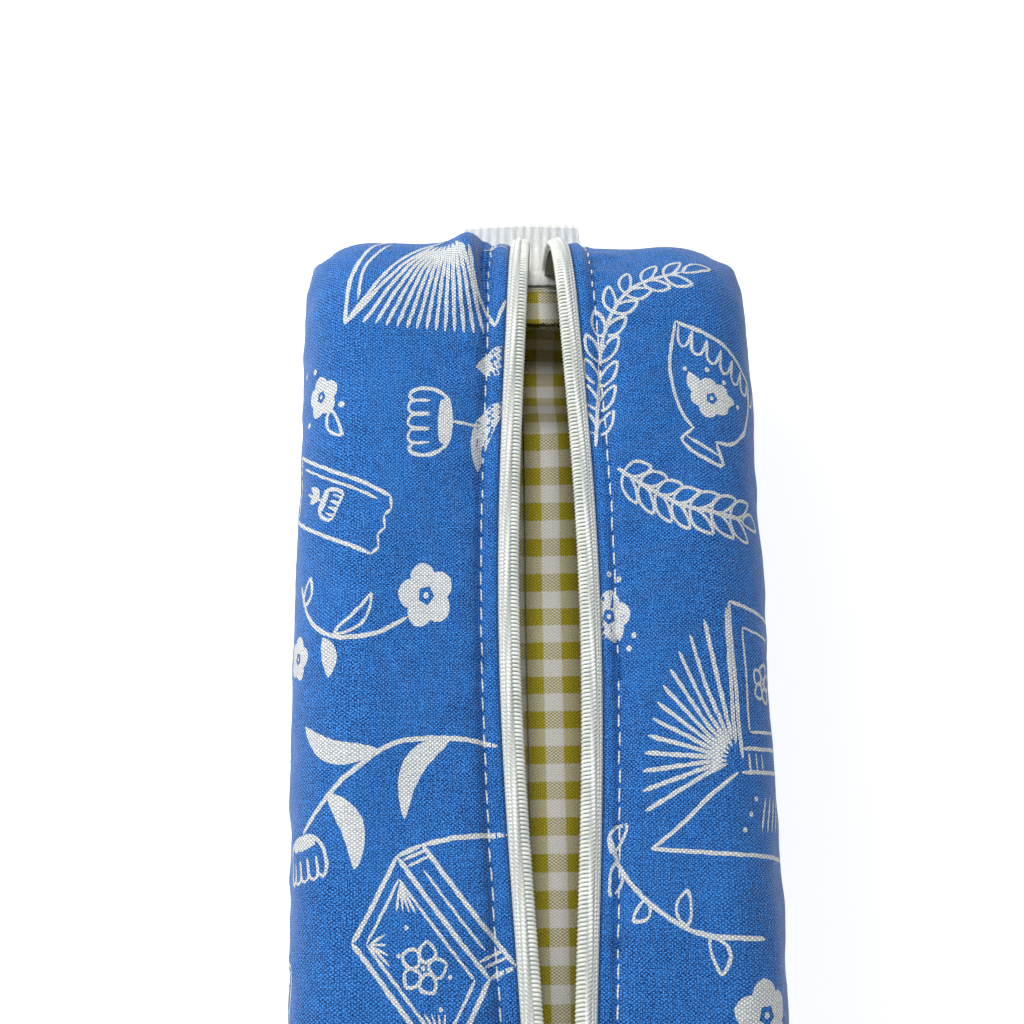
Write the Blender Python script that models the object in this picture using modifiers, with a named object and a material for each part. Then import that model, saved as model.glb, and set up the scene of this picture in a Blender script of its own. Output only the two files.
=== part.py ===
"""Padded boxy pencil case with an open coil zip, as separate sewn and fitted pieces.

Metres, +Z up. +Y runs along the zip to the end with the ribbon tab, +X to the right.
The case stands on z = 0 and the whole object's box is centred on the origin in X and Y.
Each panel is a sheet lofted through cross-sections along Y: from the zip over the top,
down the side and under the bottom. At both ends the top and the bottom roll down and up
to a seam at half height. Layers from outside in: cotton, fleece padding, gingham lining.
"""

import math

import bmesh
import bpy
from mathutils import Matrix, Vector

# Driving sizes
LENGTH = 0.203              # end face to end face
WIDTH = 0.078
HEIGHT = 0.058              # from the table to the top of the panels
TAB_REACH = 0.0065          # how far the ribbon tab stands out of the far end
ZIP_X = 0.0026              # the zip lies a little right of the middle
END_ROLL = 0.020            # run of the rounding from the top to an end face
END_POWER = 2.4             # squareness of that rounding (2 is an ellipse)
SIDE_RADIUS = 0.013         # long edges of the case
PLAN_RADIUS = 0.005         # upright corners, where the boxed corners are sewn
CLEAR = 0.0003              # gap between pieces that touch

# Layers, outside in
OUTER_T = 0.0008
TAPE_T = 0.0004
PADDING_T = 0.0020
LINING_T = 0.0005
TAPE_INSET = OUTER_T + CLEAR
PADDING_INSET = OUTER_T + CLEAR
LINING_INSET = PADDING_INSET + PADDING_T + CLEAR

# Zip: a #3 nylon coil
COIL_W = 0.0030             # one side of the chain
COIL_T = 0.0018
COIL_RISE = 0.0010          # how far the coil stands above the cotton
TAPE_INNER = 0.0004         # tape edge and tape width, from the teeth
TAPE_W = 0.0096
FOLD_EDGE = COIL_W + CLEAR  # folded edge of the cotton, from the teeth
STITCH_EDGE = FOLD_EDGE + 0.0033
PADDING_EDGE = TAPE_INNER + TAPE_W + 2 * CLEAR
LINING_EDGE = 0.0050
STITCH_R = 0.0002

# The open mouth: half the gap between the teeth, along the case
GAP_MIDDLE = 0.030          # where the mouth is widest, from the middle of the case
GAP_RUN = 0.093             # from there to where the teeth run side by side
GAP_WIDEST = 0.00455
GAP_AT_SLIDER = 0.0011
GAP_CLOSED = 0.00015

# Slider at the near end, fully open
SLIDER_L = 0.0090
SLIDER_W = 0.0080
SLIDER_TAIL_W = 0.0056
PLATE_T = 0.0010
SLIDER_Y = -(LENGTH / 2 - END_ROLL - SLIDER_L / 2)
POST_W = 0.0013
POST_L = 0.0024
BRIDGE_W = 0.0020
BRIDGE_L = 0.0062
BRIDGE_T = 0.0010
BRIDGE_CLEAR = 0.0018
PULL_T = 0.0010
PULL_W = 0.0060
PULL_L = 0.0172
PULL_ARM_W = 0.0011
PULL_PADDLE = 0.0044        # from the hinge to the broad part
PULL_HOLE_R = 0.0012
CROSSBAR_R = 0.00055

# End seams and the ribbon tab
SEAM_HALF = 0.0016          # half the height of the seam slot between the upper and lower flaps
SEAM_DEPTH = 0.0095         # seam allowance turned inwards
SEAM_T = 0.0008
SEAM_W = 0.060
RIBBON_W = 0.022
RIBBON_T = 0.0006
RIBBON_TAIL = 0.0040        # ribbon caught inside the seam

# How finely the shapes are cut
ROLL_STEPS = 5
MIDDLE_STEPS = 9
ARC_STEPS = 3

# Worked out from the sizes above
BODY_Y = -(TAB_REACH - COIL_RISE) / 2
MID_Z = HEIGHT / 2
FAR_Y = BODY_Y + LENGTH / 2
SLIDER_AT_Y = BODY_Y + SLIDER_Y
COIL_TOP_Z = HEIGHT + COIL_RISE
PLATE_TOP_Z = COIL_TOP_Z + CLEAR
HINGE_Z = PLATE_TOP_Z + PLATE_T + 0.00095


# ---------------------------------------------------------------- scene and materials

def clear_scene():
    for obj in list(bpy.data.objects):
        bpy.data.objects.remove(obj, do_unlink=True)


def new_collection(name):
    collection = bpy.data.collections.new(name)
    bpy.context.scene.collection.children.link(collection)
    return collection


def material(name, colour, roughness, metallic=0.0):
    made = bpy.data.materials.new(name)
    made.use_nodes = True
    shader = made.node_tree.nodes["Principled BSDF"]
    shader.inputs["Base Color"].default_value = (*colour, 1.0)
    shader.inputs["Roughness"].default_value = roughness
    shader.inputs["Metallic"].default_value = metallic
    return made


def add_object(name, mesh, collection, mat):
    obj = bpy.data.objects.new(name, mesh)
    collection.objects.link(obj)
    mesh.materials.append(mat)
    return obj


# ---------------------------------------------------------------- shape of the case

def half_gap(y):
    """Half the gap between the teeth at y, measured from the middle of the case."""
    reach = min(1.0, abs(y - GAP_MIDDLE) / GAP_RUN)
    wave = 0.5 * (1.0 + math.cos(math.pi * reach))
    gap = GAP_AT_SLIDER + (GAP_WIDEST - GAP_AT_SLIDER) * wave
    return GAP_CLOSED if y < SLIDER_Y else gap


def roll(step):
    """Share of the run along Y and of the half height left, at one step of an end's rounding."""
    angle = math.radians(90.0 * step / ROLL_STEPS)
    run = math.sin(angle) ** (2.0 / END_POWER)
    left = max(0.0, math.cos(angle)) ** (2.0 / END_POWER)
    return run, left


def stations(inset):
    """Cross-sections from the near end to the far end: (y from the middle, half height, half width)."""
    straight = LENGTH / 2 - END_ROLL
    rows = []
    for step in range(ROLL_STEPS, 0, -1):
        run, left = roll(step)
        rows.append((-straight - run * (END_ROLL - inset), left))
    rows += [(-straight, 1.0), (SLIDER_Y, 1.0)]
    for step in range(1, MIDDLE_STEPS + 1):
        rows.append((-straight + 2 * straight * step / MIDDLE_STEPS, 1.0))
    for step in range(1, ROLL_STEPS + 1):
        run, left = roll(step)
        rows.append((straight + run * (END_ROLL - inset), left))
    full = HEIGHT / 2 - inset - SEAM_HALF
    radius = PLAN_RADIUS - inset
    result = []
    for y, left in rows:
        past = max(0.0, abs(y) - (LENGTH / 2 - PLAN_RADIUS))
        pinch = radius - math.sqrt(max(0.0, radius ** 2 - min(past, radius) ** 2))
        result.append((y, SEAM_HALF + full * left, WIDTH / 2 - inset - pinch))
    return result


def section(side, edge, half_height, half_width, inset):
    """Points of one panel's cross-section, from the zip edge round to the bottom seam."""
    radius = min(SIDE_RADIUS - inset, 0.9 * half_height)
    shoulder = half_width - radius
    points = [(edge, half_height), (0.5 * (edge + shoulder), half_height)]
    for step in range(ARC_STEPS + 1):
        turn = math.radians(90.0 * step / ARC_STEPS)
        points.append((shoulder + radius * math.sin(turn), half_height - radius * (1 - math.cos(turn))))
    points.append((half_width, 0.0))
    for step in range(ARC_STEPS + 1):
        turn = math.radians(90.0 * step / ARC_STEPS)
        points.append((shoulder + radius * math.cos(turn), -half_height + radius * (1 - math.sin(turn))))
    points.append((0.5 * shoulder, -half_height))
    points.append((CLEAR / 2, -half_height))
    return [(side * x, MID_Z + z) for x, z in points]


def sheet(name, rows, thickness, collection, mat):
    """A grid of points made into faces that look away from the case's middle, thickened inwards."""
    bm = bmesh.new()
    grid = [[bm.verts.new(point) for point in row] for row in rows]
    for low, high in zip(grid, grid[1:]):
        for a, b, c, d in zip(low, low[1:], high[1:], high):
            bm.faces.new((a, b, c, d))
    bm.normal_update()
    middle = Vector((0, BODY_Y, MID_Z))
    if sum(face.normal.dot(face.calc_center_median() - middle) for face in bm.faces) < 0:
        bmesh.ops.reverse_faces(bm, faces=bm.faces[:])
    mesh = bpy.data.meshes.new(name)
    bm.to_mesh(mesh)
    bm.free()
    mesh.shade_smooth()
    obj = add_object(name, mesh, collection, mat)
    solidify = obj.modifiers.new("thickness", "SOLIDIFY")
    solidify.thickness = thickness
    solidify.offset = -1.0
    solidify.use_even_offset = True
    return obj


def panel(name, side, inset, thickness, edge_from_teeth, collection, mat):
    """One side of the case in one layer: side is -1 for left and 1 for right."""
    rows = []
    for y, half_height, half_width in stations(inset):
        edge = side * ZIP_X + half_gap(y) + edge_from_teeth
        points = section(side, edge, half_height, half_width, inset)
        rows.append([(x, BODY_Y + y, z) for x, z in points])
    return sheet(name, rows, thickness, collection, mat)


def strip(name, side, inner, outer, inset, thickness, collection, mat):
    """A narrow strip along the mouth, from inner to outer from the teeth, over the top and both ends."""
    rows = []
    for y, half_height, _ in stations(inset):
        reach = half_gap(y)
        rows.append([
            (ZIP_X + side * (reach + offset), BODY_Y + y, MID_Z + half_height)
            for offset in (inner, 0.5 * (inner + outer), outer)
        ])
    return sheet(name, rows, thickness, collection, mat)


def stitch_line(name, side, collection, mat):
    """The topstitching: one thread along the folded edge, on top of the cotton."""
    rise = STITCH_R + CLEAR
    curve = bpy.data.curves.new(name, "CURVE")
    curve.dimensions = "3D"
    curve.bevel_depth = STITCH_R
    curve.bevel_resolution = 1
    curve.use_fill_caps = True
    route = [
        (ZIP_X + side * (half_gap(y) + STITCH_EDGE), BODY_Y + y, MID_Z + half_height)
        for y, half_height, _ in stations(-rise)
    ]
    spline = curve.splines.new("POLY")
    spline.points.add(len(route) - 1)
    for point, place in zip(spline.points, route):
        point.co = (*place, 1.0)
    curve.materials.append(mat)
    obj = bpy.data.objects.new(name, curve)
    collection.objects.link(obj)
    return obj


# ---------------------------------------------------------------- slider and pull

def prism(outline, low_z, high_z, name="prism"):
    """An outline in X and Y raised from low_z to high_z."""
    bm = bmesh.new()
    face = bm.faces.new([bm.verts.new((x, y, low_z)) for x, y in outline])
    raised = bmesh.ops.extrude_face_region(bm, geom=[face])
    moved = [item for item in raised["geom"] if isinstance(item, bmesh.types.BMVert)]
    bmesh.ops.translate(bm, verts=moved, vec=(0, 0, high_z - low_z))
    bmesh.ops.recalc_face_normals(bm, faces=bm.faces[:])
    mesh = bpy.data.meshes.new(name)
    bm.to_mesh(mesh)
    bm.free()
    return mesh


def block(centre, size, name="block"):
    bm = bmesh.new()
    bmesh.ops.create_cube(bm, size=1.0, matrix=Matrix.Translation(centre) @ Matrix.Diagonal((*size, 1.0)))
    mesh = bpy.data.meshes.new(name)
    bm.to_mesh(mesh)
    bm.free()
    return mesh


def rod_x(centre, radius, length, name="rod"):
    """A cylinder along X."""
    bm = bmesh.new()
    place = Matrix.Translation(centre) @ Matrix.Rotation(math.radians(90), 4, "Y")
    bmesh.ops.create_cone(bm, cap_ends=True, segments=12, radius1=radius, radius2=radius,
                          depth=length, matrix=place)
    mesh = bpy.data.meshes.new(name)
    bm.to_mesh(mesh)
    bm.free()
    return mesh


def boolean(obj, tool_mesh, operation, cutters):
    """Joins or cuts obj with a hidden helper object."""
    tool = bpy.data.objects.new(f"{obj.name}_{operation.lower()}_{len(obj.modifiers)}", tool_mesh)
    cutters.objects.link(tool)
    tool.hide_render = True
    tool.display_type = "WIRE"
    modifier = obj.modifiers.new(operation.lower(), "BOOLEAN")
    modifier.operation = operation
    modifier.object = tool


def slider_outline():
    """Broad shoulders at the mouth (+Y) and a narrow tail."""
    half, tail, back = SLIDER_W / 2, SLIDER_TAIL_W / 2, SLIDER_L / 2
    corner = 0.0012
    outline = [(half - corner, back), (half, back - corner), (half, 0.0), (tail, -back + corner),
               (tail - corner, -back)]
    return outline + [(-x, y) for x, y in reversed(outline)]


def slider_body(collection, cutters, mat):
    """Two plates on a post between the coils, and a bridge on top for the pull."""
    lower_top = HEIGHT - TAPE_INSET - TAPE_T - CLEAR
    at = [(ZIP_X + x, SLIDER_AT_Y + y) for x, y in slider_outline()]
    obj = add_object("slider_body", prism(at, lower_top - PLATE_T, lower_top), collection, mat)
    boolean(obj, prism(at, PLATE_TOP_Z, PLATE_TOP_Z + PLATE_T), "UNION", cutters)
    sink = PLATE_T / 2
    post_y = SLIDER_AT_Y + SLIDER_L / 2 - POST_L / 2
    post_low, post_high = lower_top - sink, PLATE_TOP_Z + sink
    post = block((ZIP_X, post_y, 0.5 * (post_low + post_high)), (POST_W, POST_L, post_high - post_low))
    boolean(obj, post, "UNION", cutters)
    roof = PLATE_TOP_Z + PLATE_T + BRIDGE_CLEAR + BRIDGE_T
    base = PLATE_TOP_Z + sink
    boolean(obj, block((ZIP_X, SLIDER_AT_Y, 0.5 * (base + roof)), (BRIDGE_W, BRIDGE_L, roof - base)),
            "UNION", cutters)
    window_low = PLATE_TOP_Z + PLATE_T
    window = block((ZIP_X, SLIDER_AT_Y, window_low + BRIDGE_CLEAR / 2),
                   (2 * BRIDGE_W, BRIDGE_L - 2 * BRIDGE_T, BRIDGE_CLEAR))
    boolean(obj, window, "DIFFERENCE", cutters)
    return obj


def pull_outline():
    """The broad part of the pull, with a rounded end, pointing to -Y from the hinge."""
    half, round_r = PULL_W / 2, 0.0022
    end = -PULL_L
    outline = [(half - 0.0010, -PULL_PADDLE), (half, -PULL_PADDLE - 0.0010)]
    for step in range(4):
        turn = math.radians(30.0 * step)
        outline.append((half - round_r + round_r * math.cos(turn), end + round_r - round_r * math.sin(turn)))
    return outline + [(-x, y) for x, y in reversed(outline)]


def slider_pull(collection, cutters, mat):
    """The pull: a crossbar under the bridge, two arms beside it and a broad part with a hole."""
    low, high = -PULL_T / 2, PULL_T / 2
    obj = add_object("slider_pull", prism(pull_outline(), low, high), collection, mat)
    obj.location = (ZIP_X, SLIDER_AT_Y, HINGE_Z)
    arm_x = BRIDGE_W / 2 + 2 * CLEAR + PULL_ARM_W / 2
    arm_l = PULL_PADDLE + 0.0008
    tools = [block((s * arm_x, -arm_l / 2, 0), (PULL_ARM_W, arm_l, 0.0009)) for s in (-1, 1)]
    tools.append(rod_x((0, 0, 0), CROSSBAR_R, 2 * arm_x + PULL_ARM_W))
    for tool in tools:
        tool.transform(Matrix.Translation(obj.location))
        boolean(obj, tool, "UNION", cutters)
    bm = bmesh.new()
    hole_at = Matrix.Translation(obj.location + Vector((0, 0.0034 - PULL_L, 0)))
    bmesh.ops.create_cone(bm, cap_ends=True, segments=16, radius1=PULL_HOLE_R, radius2=PULL_HOLE_R,
                          depth=4 * PULL_T, matrix=hole_at)
    hole = bpy.data.meshes.new("pull_hole")
    bm.to_mesh(hole)
    bm.free()
    boolean(obj, hole, "DIFFERENCE", cutters)
    return obj


# ---------------------------------------------------------------- ends

def end_seam(name, side, collection, mat):
    """The allowances of both panels, sewn together and turned into the case; side is the end, along Y."""
    face_y = BODY_Y + side * LENGTH / 2
    low = MID_Z - SEAM_HALF + CLEAR
    centre = (0, face_y - side * (SEAM_DEPTH / 2 + CLEAR), low + SEAM_T / 2)
    return add_object(name, block(centre, (SEAM_W, SEAM_DEPTH, SEAM_T), name), collection, mat)


def ribbon_tab(collection, mat):
    """A folded ribbon: both tails lie in the end seam, on the allowances, and the loop stands out."""
    low = MID_Z - SEAM_HALF + 2 * CLEAR + SEAM_T
    outer_r = RIBBON_T + CLEAR / 2
    inner_r = CLEAR / 2
    mid = low + outer_r
    tail_y, turn_y = FAR_Y - RIBBON_TAIL, FAR_Y + TAB_REACH - outer_r
    outer = [(tail_y, mid - outer_r)]
    inner = [(tail_y, mid - inner_r)]
    for step in range(7):
        turn = math.radians(-90 + 30 * step)
        outer.append((turn_y + outer_r * math.cos(turn), mid + outer_r * math.sin(turn)))
        inner.append((turn_y + inner_r * math.cos(turn), mid + inner_r * math.sin(turn)))
    outer.append((tail_y, mid + outer_r))
    inner.append((tail_y, mid + inner_r))
    outline = outer + inner[::-1]
    mesh = prism(outline, -RIBBON_W / 2, RIBBON_W / 2, "ribbon_tab")
    # The outline's X and Y become the case's Y and Z.
    mesh.transform(Matrix(((0, 0, 1, 0), (1, 0, 0, 0), (0, 1, 0, 0), (0, 0, 0, 1))))
    return add_object("ribbon_tab", mesh, collection, mat)


# ---------------------------------------------------------------- the whole case

def main():
    clear_scene()
    case = new_collection("pencil_case")
    cutters = new_collection("cutters")

    for side, word in ((-1, "left"), (1, "right")):
        panel(f"outer_panel_{word}", side, 0.0, OUTER_T, FOLD_EDGE, case,
              material(f"blue_cotton_{word}", (0.055, 0.185, 0.50), 0.85))
        panel(f"padding_{word}", side, PADDING_INSET, PADDING_T, PADDING_EDGE, case,
              material(f"white_fleece_{word}", (0.85, 0.85, 0.82), 0.95))
        panel(f"lining_{word}", side, LINING_INSET, LINING_T, LINING_EDGE, case,
              material(f"gingham_cotton_{word}", (0.48, 0.46, 0.20), 0.85))
        strip(f"zipper_tape_{word}", side, TAPE_INNER, TAPE_INNER + TAPE_W, TAPE_INSET, TAPE_T, case,
              material(f"zip_tape_{word}", (0.78, 0.79, 0.76), 0.8))
        strip(f"zipper_coil_{word}", side, 0.0, COIL_W, -COIL_RISE, COIL_T, case,
              material(f"nylon_coil_{word}", (0.82, 0.83, 0.80), 0.4))
        stitch_line(f"topstitch_{word}", side, case,
                    material(f"white_thread_{word}", (0.85, 0.85, 0.85), 0.6))

    for side, word in ((-1, "near"), (1, "far")):
        end_seam(f"end_seam_{word}", side, case,
                 material(f"seam_allowance_{word}", (0.50, 0.48, 0.25), 0.9))

    ribbon_tab(case, material("white_ribbon", (0.86, 0.86, 0.90), 0.6))
    slider_body(case, cutters, material("slider_enamel", (0.80, 0.81, 0.79), 0.35, 0.3))
    slider_pull(case, cutters, material("pull_enamel", (0.80, 0.81, 0.79), 0.35, 0.3))


main()
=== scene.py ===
"""Looks of the padded boxy pencil case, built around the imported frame.

Shapes are worked out in millimetres from the middle of the case: u runs over the cloth from the
folded edge at the zip, down the side and under the bottom, and v runs along the case, over both
rolled ends, to the end seams. Everything is turned into metres and the frame's place at the end.
"""

import math

import bpy
import numpy as np
from mathutils import Matrix, Vector


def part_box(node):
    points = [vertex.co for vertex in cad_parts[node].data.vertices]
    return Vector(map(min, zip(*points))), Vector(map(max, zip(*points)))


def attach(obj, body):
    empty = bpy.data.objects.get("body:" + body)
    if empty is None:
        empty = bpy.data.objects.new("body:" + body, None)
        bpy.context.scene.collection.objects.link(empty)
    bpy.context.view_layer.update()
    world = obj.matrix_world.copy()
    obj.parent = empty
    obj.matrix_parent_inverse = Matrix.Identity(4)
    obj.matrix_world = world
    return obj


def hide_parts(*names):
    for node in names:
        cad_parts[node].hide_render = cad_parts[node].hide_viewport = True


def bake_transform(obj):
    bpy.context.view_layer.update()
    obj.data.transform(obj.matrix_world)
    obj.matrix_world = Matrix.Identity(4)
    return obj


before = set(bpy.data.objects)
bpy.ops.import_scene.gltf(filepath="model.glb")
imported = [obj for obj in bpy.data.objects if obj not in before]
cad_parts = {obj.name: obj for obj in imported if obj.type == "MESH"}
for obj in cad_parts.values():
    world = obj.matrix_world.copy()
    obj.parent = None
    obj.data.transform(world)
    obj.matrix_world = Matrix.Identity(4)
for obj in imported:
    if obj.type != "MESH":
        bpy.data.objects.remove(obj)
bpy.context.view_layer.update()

MM = 0.001

# ------------------------------------------------------------------ sizes, from the frame

case_low, case_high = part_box("outer_panel_left")
_, left_coil_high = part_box("zipper_coil_left")
right_coil_low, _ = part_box("zipper_coil_right")
slider_low, slider_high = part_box("slider_body")
_, tab_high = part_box("ribbon_tab")

BODY_Y = 0.5 * (case_low[1] + case_high[1]) / MM
LENGTH = (case_high[1] - case_low[1]) / MM
WIDTH = -2 * case_low[0] / MM
HEIGHT = case_high[2] / MM
MID_Z = HEIGHT / 2
ZIP_X = 0.5 * (left_coil_high[0] + right_coil_low[0]) / MM
SLIDER_V = 0.5 * (slider_low[1] + slider_high[1]) / MM - BODY_Y
SLIDER_HALF = 0.5 * (slider_high[1] - slider_low[1]) / MM
TAB_END = tab_high[1] / MM - BODY_Y

# Sizes of the case that no box gives
SLIDER_TRAVEL = 154.0
LIP_TRAVEL = SLIDER_TRAVEL * 0.0334
END_ROLL = 20.0             # length of a rolled end
END_POWER = 2.4             # its rounding: 2 would be an ellipse
SIDE_RADIUS = 13.0          # between the top and the side wall
PLAN_RADIUS = 5.0           # of the boxed corners, seen from above
GAP_MIDDLE, GAP_RUN = 30.0, 93.0            # where the mouth is widest, and how far it narrows
GAP_WIDEST, GAP_AT_SLIDER = 4.55, 1.1       # half the gap between the teeth
COIL_PITCH = 0.62
STITCH_PITCH = 2.8
TAB_WIDTH = 22.0

# Sizes that only the soft pieces here have
SLOT = 0.22                 # half the opening left at an end seam
COIL_W = 3.0
FOLD_EDGE = COIL_W + 0.35   # folded edge of the cotton, from the teeth
STITCH_U = 3.3              # topstitching, from the folded edge
ENGAGED = -0.6              # the teeth's tips pass the zip's middle when they mesh
PARTED_SLOPE = 0.055        # how fast the teeth part past the closed slider
CHAIN_PITCH = 2 * COIL_PITCH                # one stitch of the sewing threads spans two teeth
INK_LIFT = 0.05             # the print lies this far above the cotton

STRAIGHT = LENGTH / 2 - END_ROLL


def smoothstep(x):
    t = np.clip(x, 0.0, 1.0)
    return t * t * (3 - 2 * t)


def dip(x, width):
    """A bell curve: 1 at x = 0, and almost gone at twice the width."""
    return np.exp(-(x / width) ** 2)


def unit(vectors, tiny=1e-12):
    """Vectors of length 1 along the last axis."""
    return vectors / (np.linalg.norm(vectors, axis=-1, keepdims=True) + tiny)


# ------------------------------------------------------------------ the case's profile and mouth

def fine_roll():
    """The rounding of an end, finely: arc length, share of the run, share of the height left."""
    angle = np.linspace(0, math.pi / 2, 1500)
    run = np.sin(angle) ** (2 / END_POWER)
    left = np.clip(np.cos(angle), 0, 1) ** (2 / END_POWER)
    drop = HEIGHT / 2 - SLOT
    step = np.hypot(np.diff(run) * END_ROLL, np.diff(left) * drop)
    return np.concatenate([[0], np.cumsum(step)]), run, left


ROLL_ARC, ROLL_RUN, ROLL_LEFT = fine_roll()
ROLL_LENGTH = ROLL_ARC[-1]
END_V = STRAIGHT + ROLL_LENGTH


def profile(v, inset=0.0):
    """Along the case at v: y from the middle, half height and half width of the cross-section."""
    v = np.asarray(v, float)
    past = np.clip(np.abs(v) - STRAIGHT, 0, ROLL_LENGTH)
    run = np.interp(past, ROLL_ARC, ROLL_RUN)
    left = np.interp(past, ROLL_ARC, ROLL_LEFT)
    straight = np.minimum(np.abs(v), STRAIGHT)
    y = np.sign(v) * (straight + run * (END_ROLL - inset))
    half_height = SLOT + (HEIGHT / 2 - inset - SLOT) * left
    radius = PLAN_RADIUS - min(inset, 3.5)
    over = np.clip(np.abs(y) - (LENGTH / 2 - inset - radius), 0, radius)
    pinch = radius - np.sqrt(np.maximum(0, radius ** 2 - over ** 2))
    return y, half_height, WIDTH / 2 - inset - pinch


def profile_normal(v):
    """Outward direction (y, z) of the top's profile at v."""
    step = 0.05
    v = np.asarray(v, float)
    inner = np.clip(v, -END_V + step, END_V - step)
    y0, h0, _ = profile(inner - step)
    y1, h1, _ = profile(inner + step)
    ty, tz = y1 - y0, h1 - h0
    size = np.hypot(ty, tz)
    return -tz / size, ty / size


def tip(v):
    """Half the gap between the teeth at rest; below zero where they mesh."""
    v = np.asarray(v, float)
    wave = 0.5 * (1 + np.cos(np.pi * np.clip(np.abs(v - GAP_MIDDLE) / GAP_RUN, 0, 1)))
    gap = GAP_AT_SLIDER + (GAP_WIDEST - GAP_AT_SLIDER) * wave
    mouth = smoothstep((v - (SLIDER_V - SLIDER_HALF)) / SLIDER_HALF)
    return ENGAGED + (gap - ENGAGED) * mouth


def tip_closed(v):
    """The same with the slider at the far end: past it the teeth still part."""
    v = np.asarray(v, float)
    far = SLIDER_V + SLIDER_TRAVEL
    mouth = smoothstep((v - (far - SLIDER_HALF)) / SLIDER_HALF)
    parted = np.minimum(tip(v), GAP_AT_SLIDER + PARTED_SLOPE * np.clip(v - far - SLIDER_HALF, 0, None))
    return np.minimum(tip(v), ENGAGED + (parted - ENGAGED) * mouth)


def lip_weight(v):
    """How much of a lip's travel the zip makes at v."""
    return np.clip((tip(v) - tip_closed(v)) / LIP_TRAVEL, 0, 1)


def to_frame(x, y, z):
    """Millimetres from the middle of the case, to metres in the frame."""
    return np.stack([x, y + BODY_Y, z], axis=-1) * MM


def zip_point(side, v, reach, height):
    """A point over the top and ends: reach from the teeth's tips, height above the cotton's level."""
    v = np.asarray(v, float)
    y, half_height, _ = profile(v)
    ny, nz = profile_normal(v)
    x = ZIP_X + side * (tip(v) + reach)
    return np.stack([x + 0 * y, y + height * ny, MID_Z + half_height + height * nz], axis=-1)


# ------------------------------------------------------------------ noise that is the same each run

class Waves:
    """Smooth seeded noise over (u, v): a sum of waves in many directions."""

    def __init__(self, seed, length, count=24, spread=0.55, stretch=(1.0, 1.0)):
        rng = np.random.default_rng(seed)
        turn = rng.uniform(0, 2 * np.pi, count)
        size = 2 * np.pi / (length * rng.uniform(1 - spread, 1 + spread, count))
        self.k = np.stack([np.cos(turn) * size / stretch[0], np.sin(turn) * size / stretch[1]])
        self.phase = rng.uniform(0, 2 * np.pi, count)
        self.scale = math.sqrt(2 / count)

    def __call__(self, u, v):
        u, v = np.broadcast_arrays(u, v)
        wave = u[..., None] * self.k[0] + v[..., None] * self.k[1] + self.phase
        return self.scale * np.sin(wave).sum(axis=-1)


# ------------------------------------------------------------------ meshes

def add_object(name, data):
    obj = bpy.data.objects.new(name, data)
    bpy.context.scene.collection.objects.link(obj)
    return obj


class Build:
    """Collects vertices, faces, cloth coordinates and shares of a lip's travel for one mesh."""

    def __init__(self):
        self.points, self.faces, self.cloth, self.weights = [], [], [], []
        self.count = 0

    def add(self, points, faces, cloth=None, weights=0.0):
        points = np.asarray(points, float).reshape(-1, 3)
        size = len(points)
        self.points.append(points)
        self.faces += [tuple(int(i) + self.count for i in face) for face in faces]
        self.cloth.append(np.zeros((size, 2)) if cloth is None else np.asarray(cloth).reshape(-1, 2))
        self.weights.append(np.broadcast_to(weights, size).astype(float))
        self.count += size

    def make(self, name, mat):
        """The mesh as an object, and its shares of a lip's travel."""
        points = np.concatenate(self.points)
        mesh = bpy.data.meshes.new(name)
        frame_points = to_frame(points[:, 0], points[:, 1], points[:, 2])
        mesh.from_pydata(frame_points.tolist(), [], self.faces)
        mesh.validate()
        mesh.shade_smooth()
        loops = np.empty(len(mesh.loops), np.int32)
        mesh.loops.foreach_get("vertex_index", loops)
        layer = mesh.uv_layers.new(name="cloth")
        layer.data.foreach_set("uv", (np.concatenate(self.cloth)[loops] * MM).astype(np.float32).ravel())
        mesh.materials.append(mat)
        return add_object(name, mesh), np.concatenate(self.weights)


def grid_faces(rows, cols, wrap=False, flip=False):
    """Quads of a rows x cols grid; wrap joins the last column to the first."""
    faces = []
    last = cols if wrap else cols - 1
    for r in range(rows - 1):
        for c in range(last):
            d = (c + 1) % cols
            quad = (r * cols + c, r * cols + d, (r + 1) * cols + d, (r + 1) * cols + c)
            faces.append(quad[::-1] if flip else quad)
    return faces


TUBE_SIDES = 6


def tube(path, radius):
    """A capped tube along path (n, 3). radius is a number or one for each point."""
    count = len(path)
    radius = np.broadcast_to(radius, count)
    tangent = unit(np.gradient(path, axis=0))
    across = unit(np.cross(tangent, (0.0, 0.0, 1.0)))
    rise = np.cross(across, tangent)
    turn = np.linspace(0, 2 * np.pi, TUBE_SIDES, endpoint=False)[None, :, None]
    ring = across[:, None] * np.cos(turn) + rise[:, None] * np.sin(turn)
    points = path[:, None] + ring * radius[:, None, None]
    faces = grid_faces(count, TUBE_SIDES, wrap=True)
    faces.append(tuple(range(TUBE_SIDES))[::-1])
    faces.append(tuple((count - 1) * TUBE_SIDES + i for i in range(TUBE_SIDES)))
    return points.reshape(-1, 3), faces


def normals_of(grid, side):
    """Outward unit normals of a (rows, cols, 3) grid."""
    return unit(np.cross(np.gradient(grid, axis=1), np.gradient(grid, axis=0)) * side)


# ------------------------------------------------------------------ cloth of one side, one layer

FINE_RUN = 9.0              # the columns lie close from the zip edge to here
CENTRE_GAP = 0.12           # each side stops this far from the middle of the bottom
FOLD_RADIUS = 0.55          # of the cotton's edge, turned under
FLAP = (3.2, 1.6)           # where the turned-under flap has its points
COTTON_STEPS, FLEECE_STEPS, LINING_STEPS = (0.7, 0.5, 1.25), (2.4, 2.2, 3.0), (1.5, 1.4, 1.9)


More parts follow.
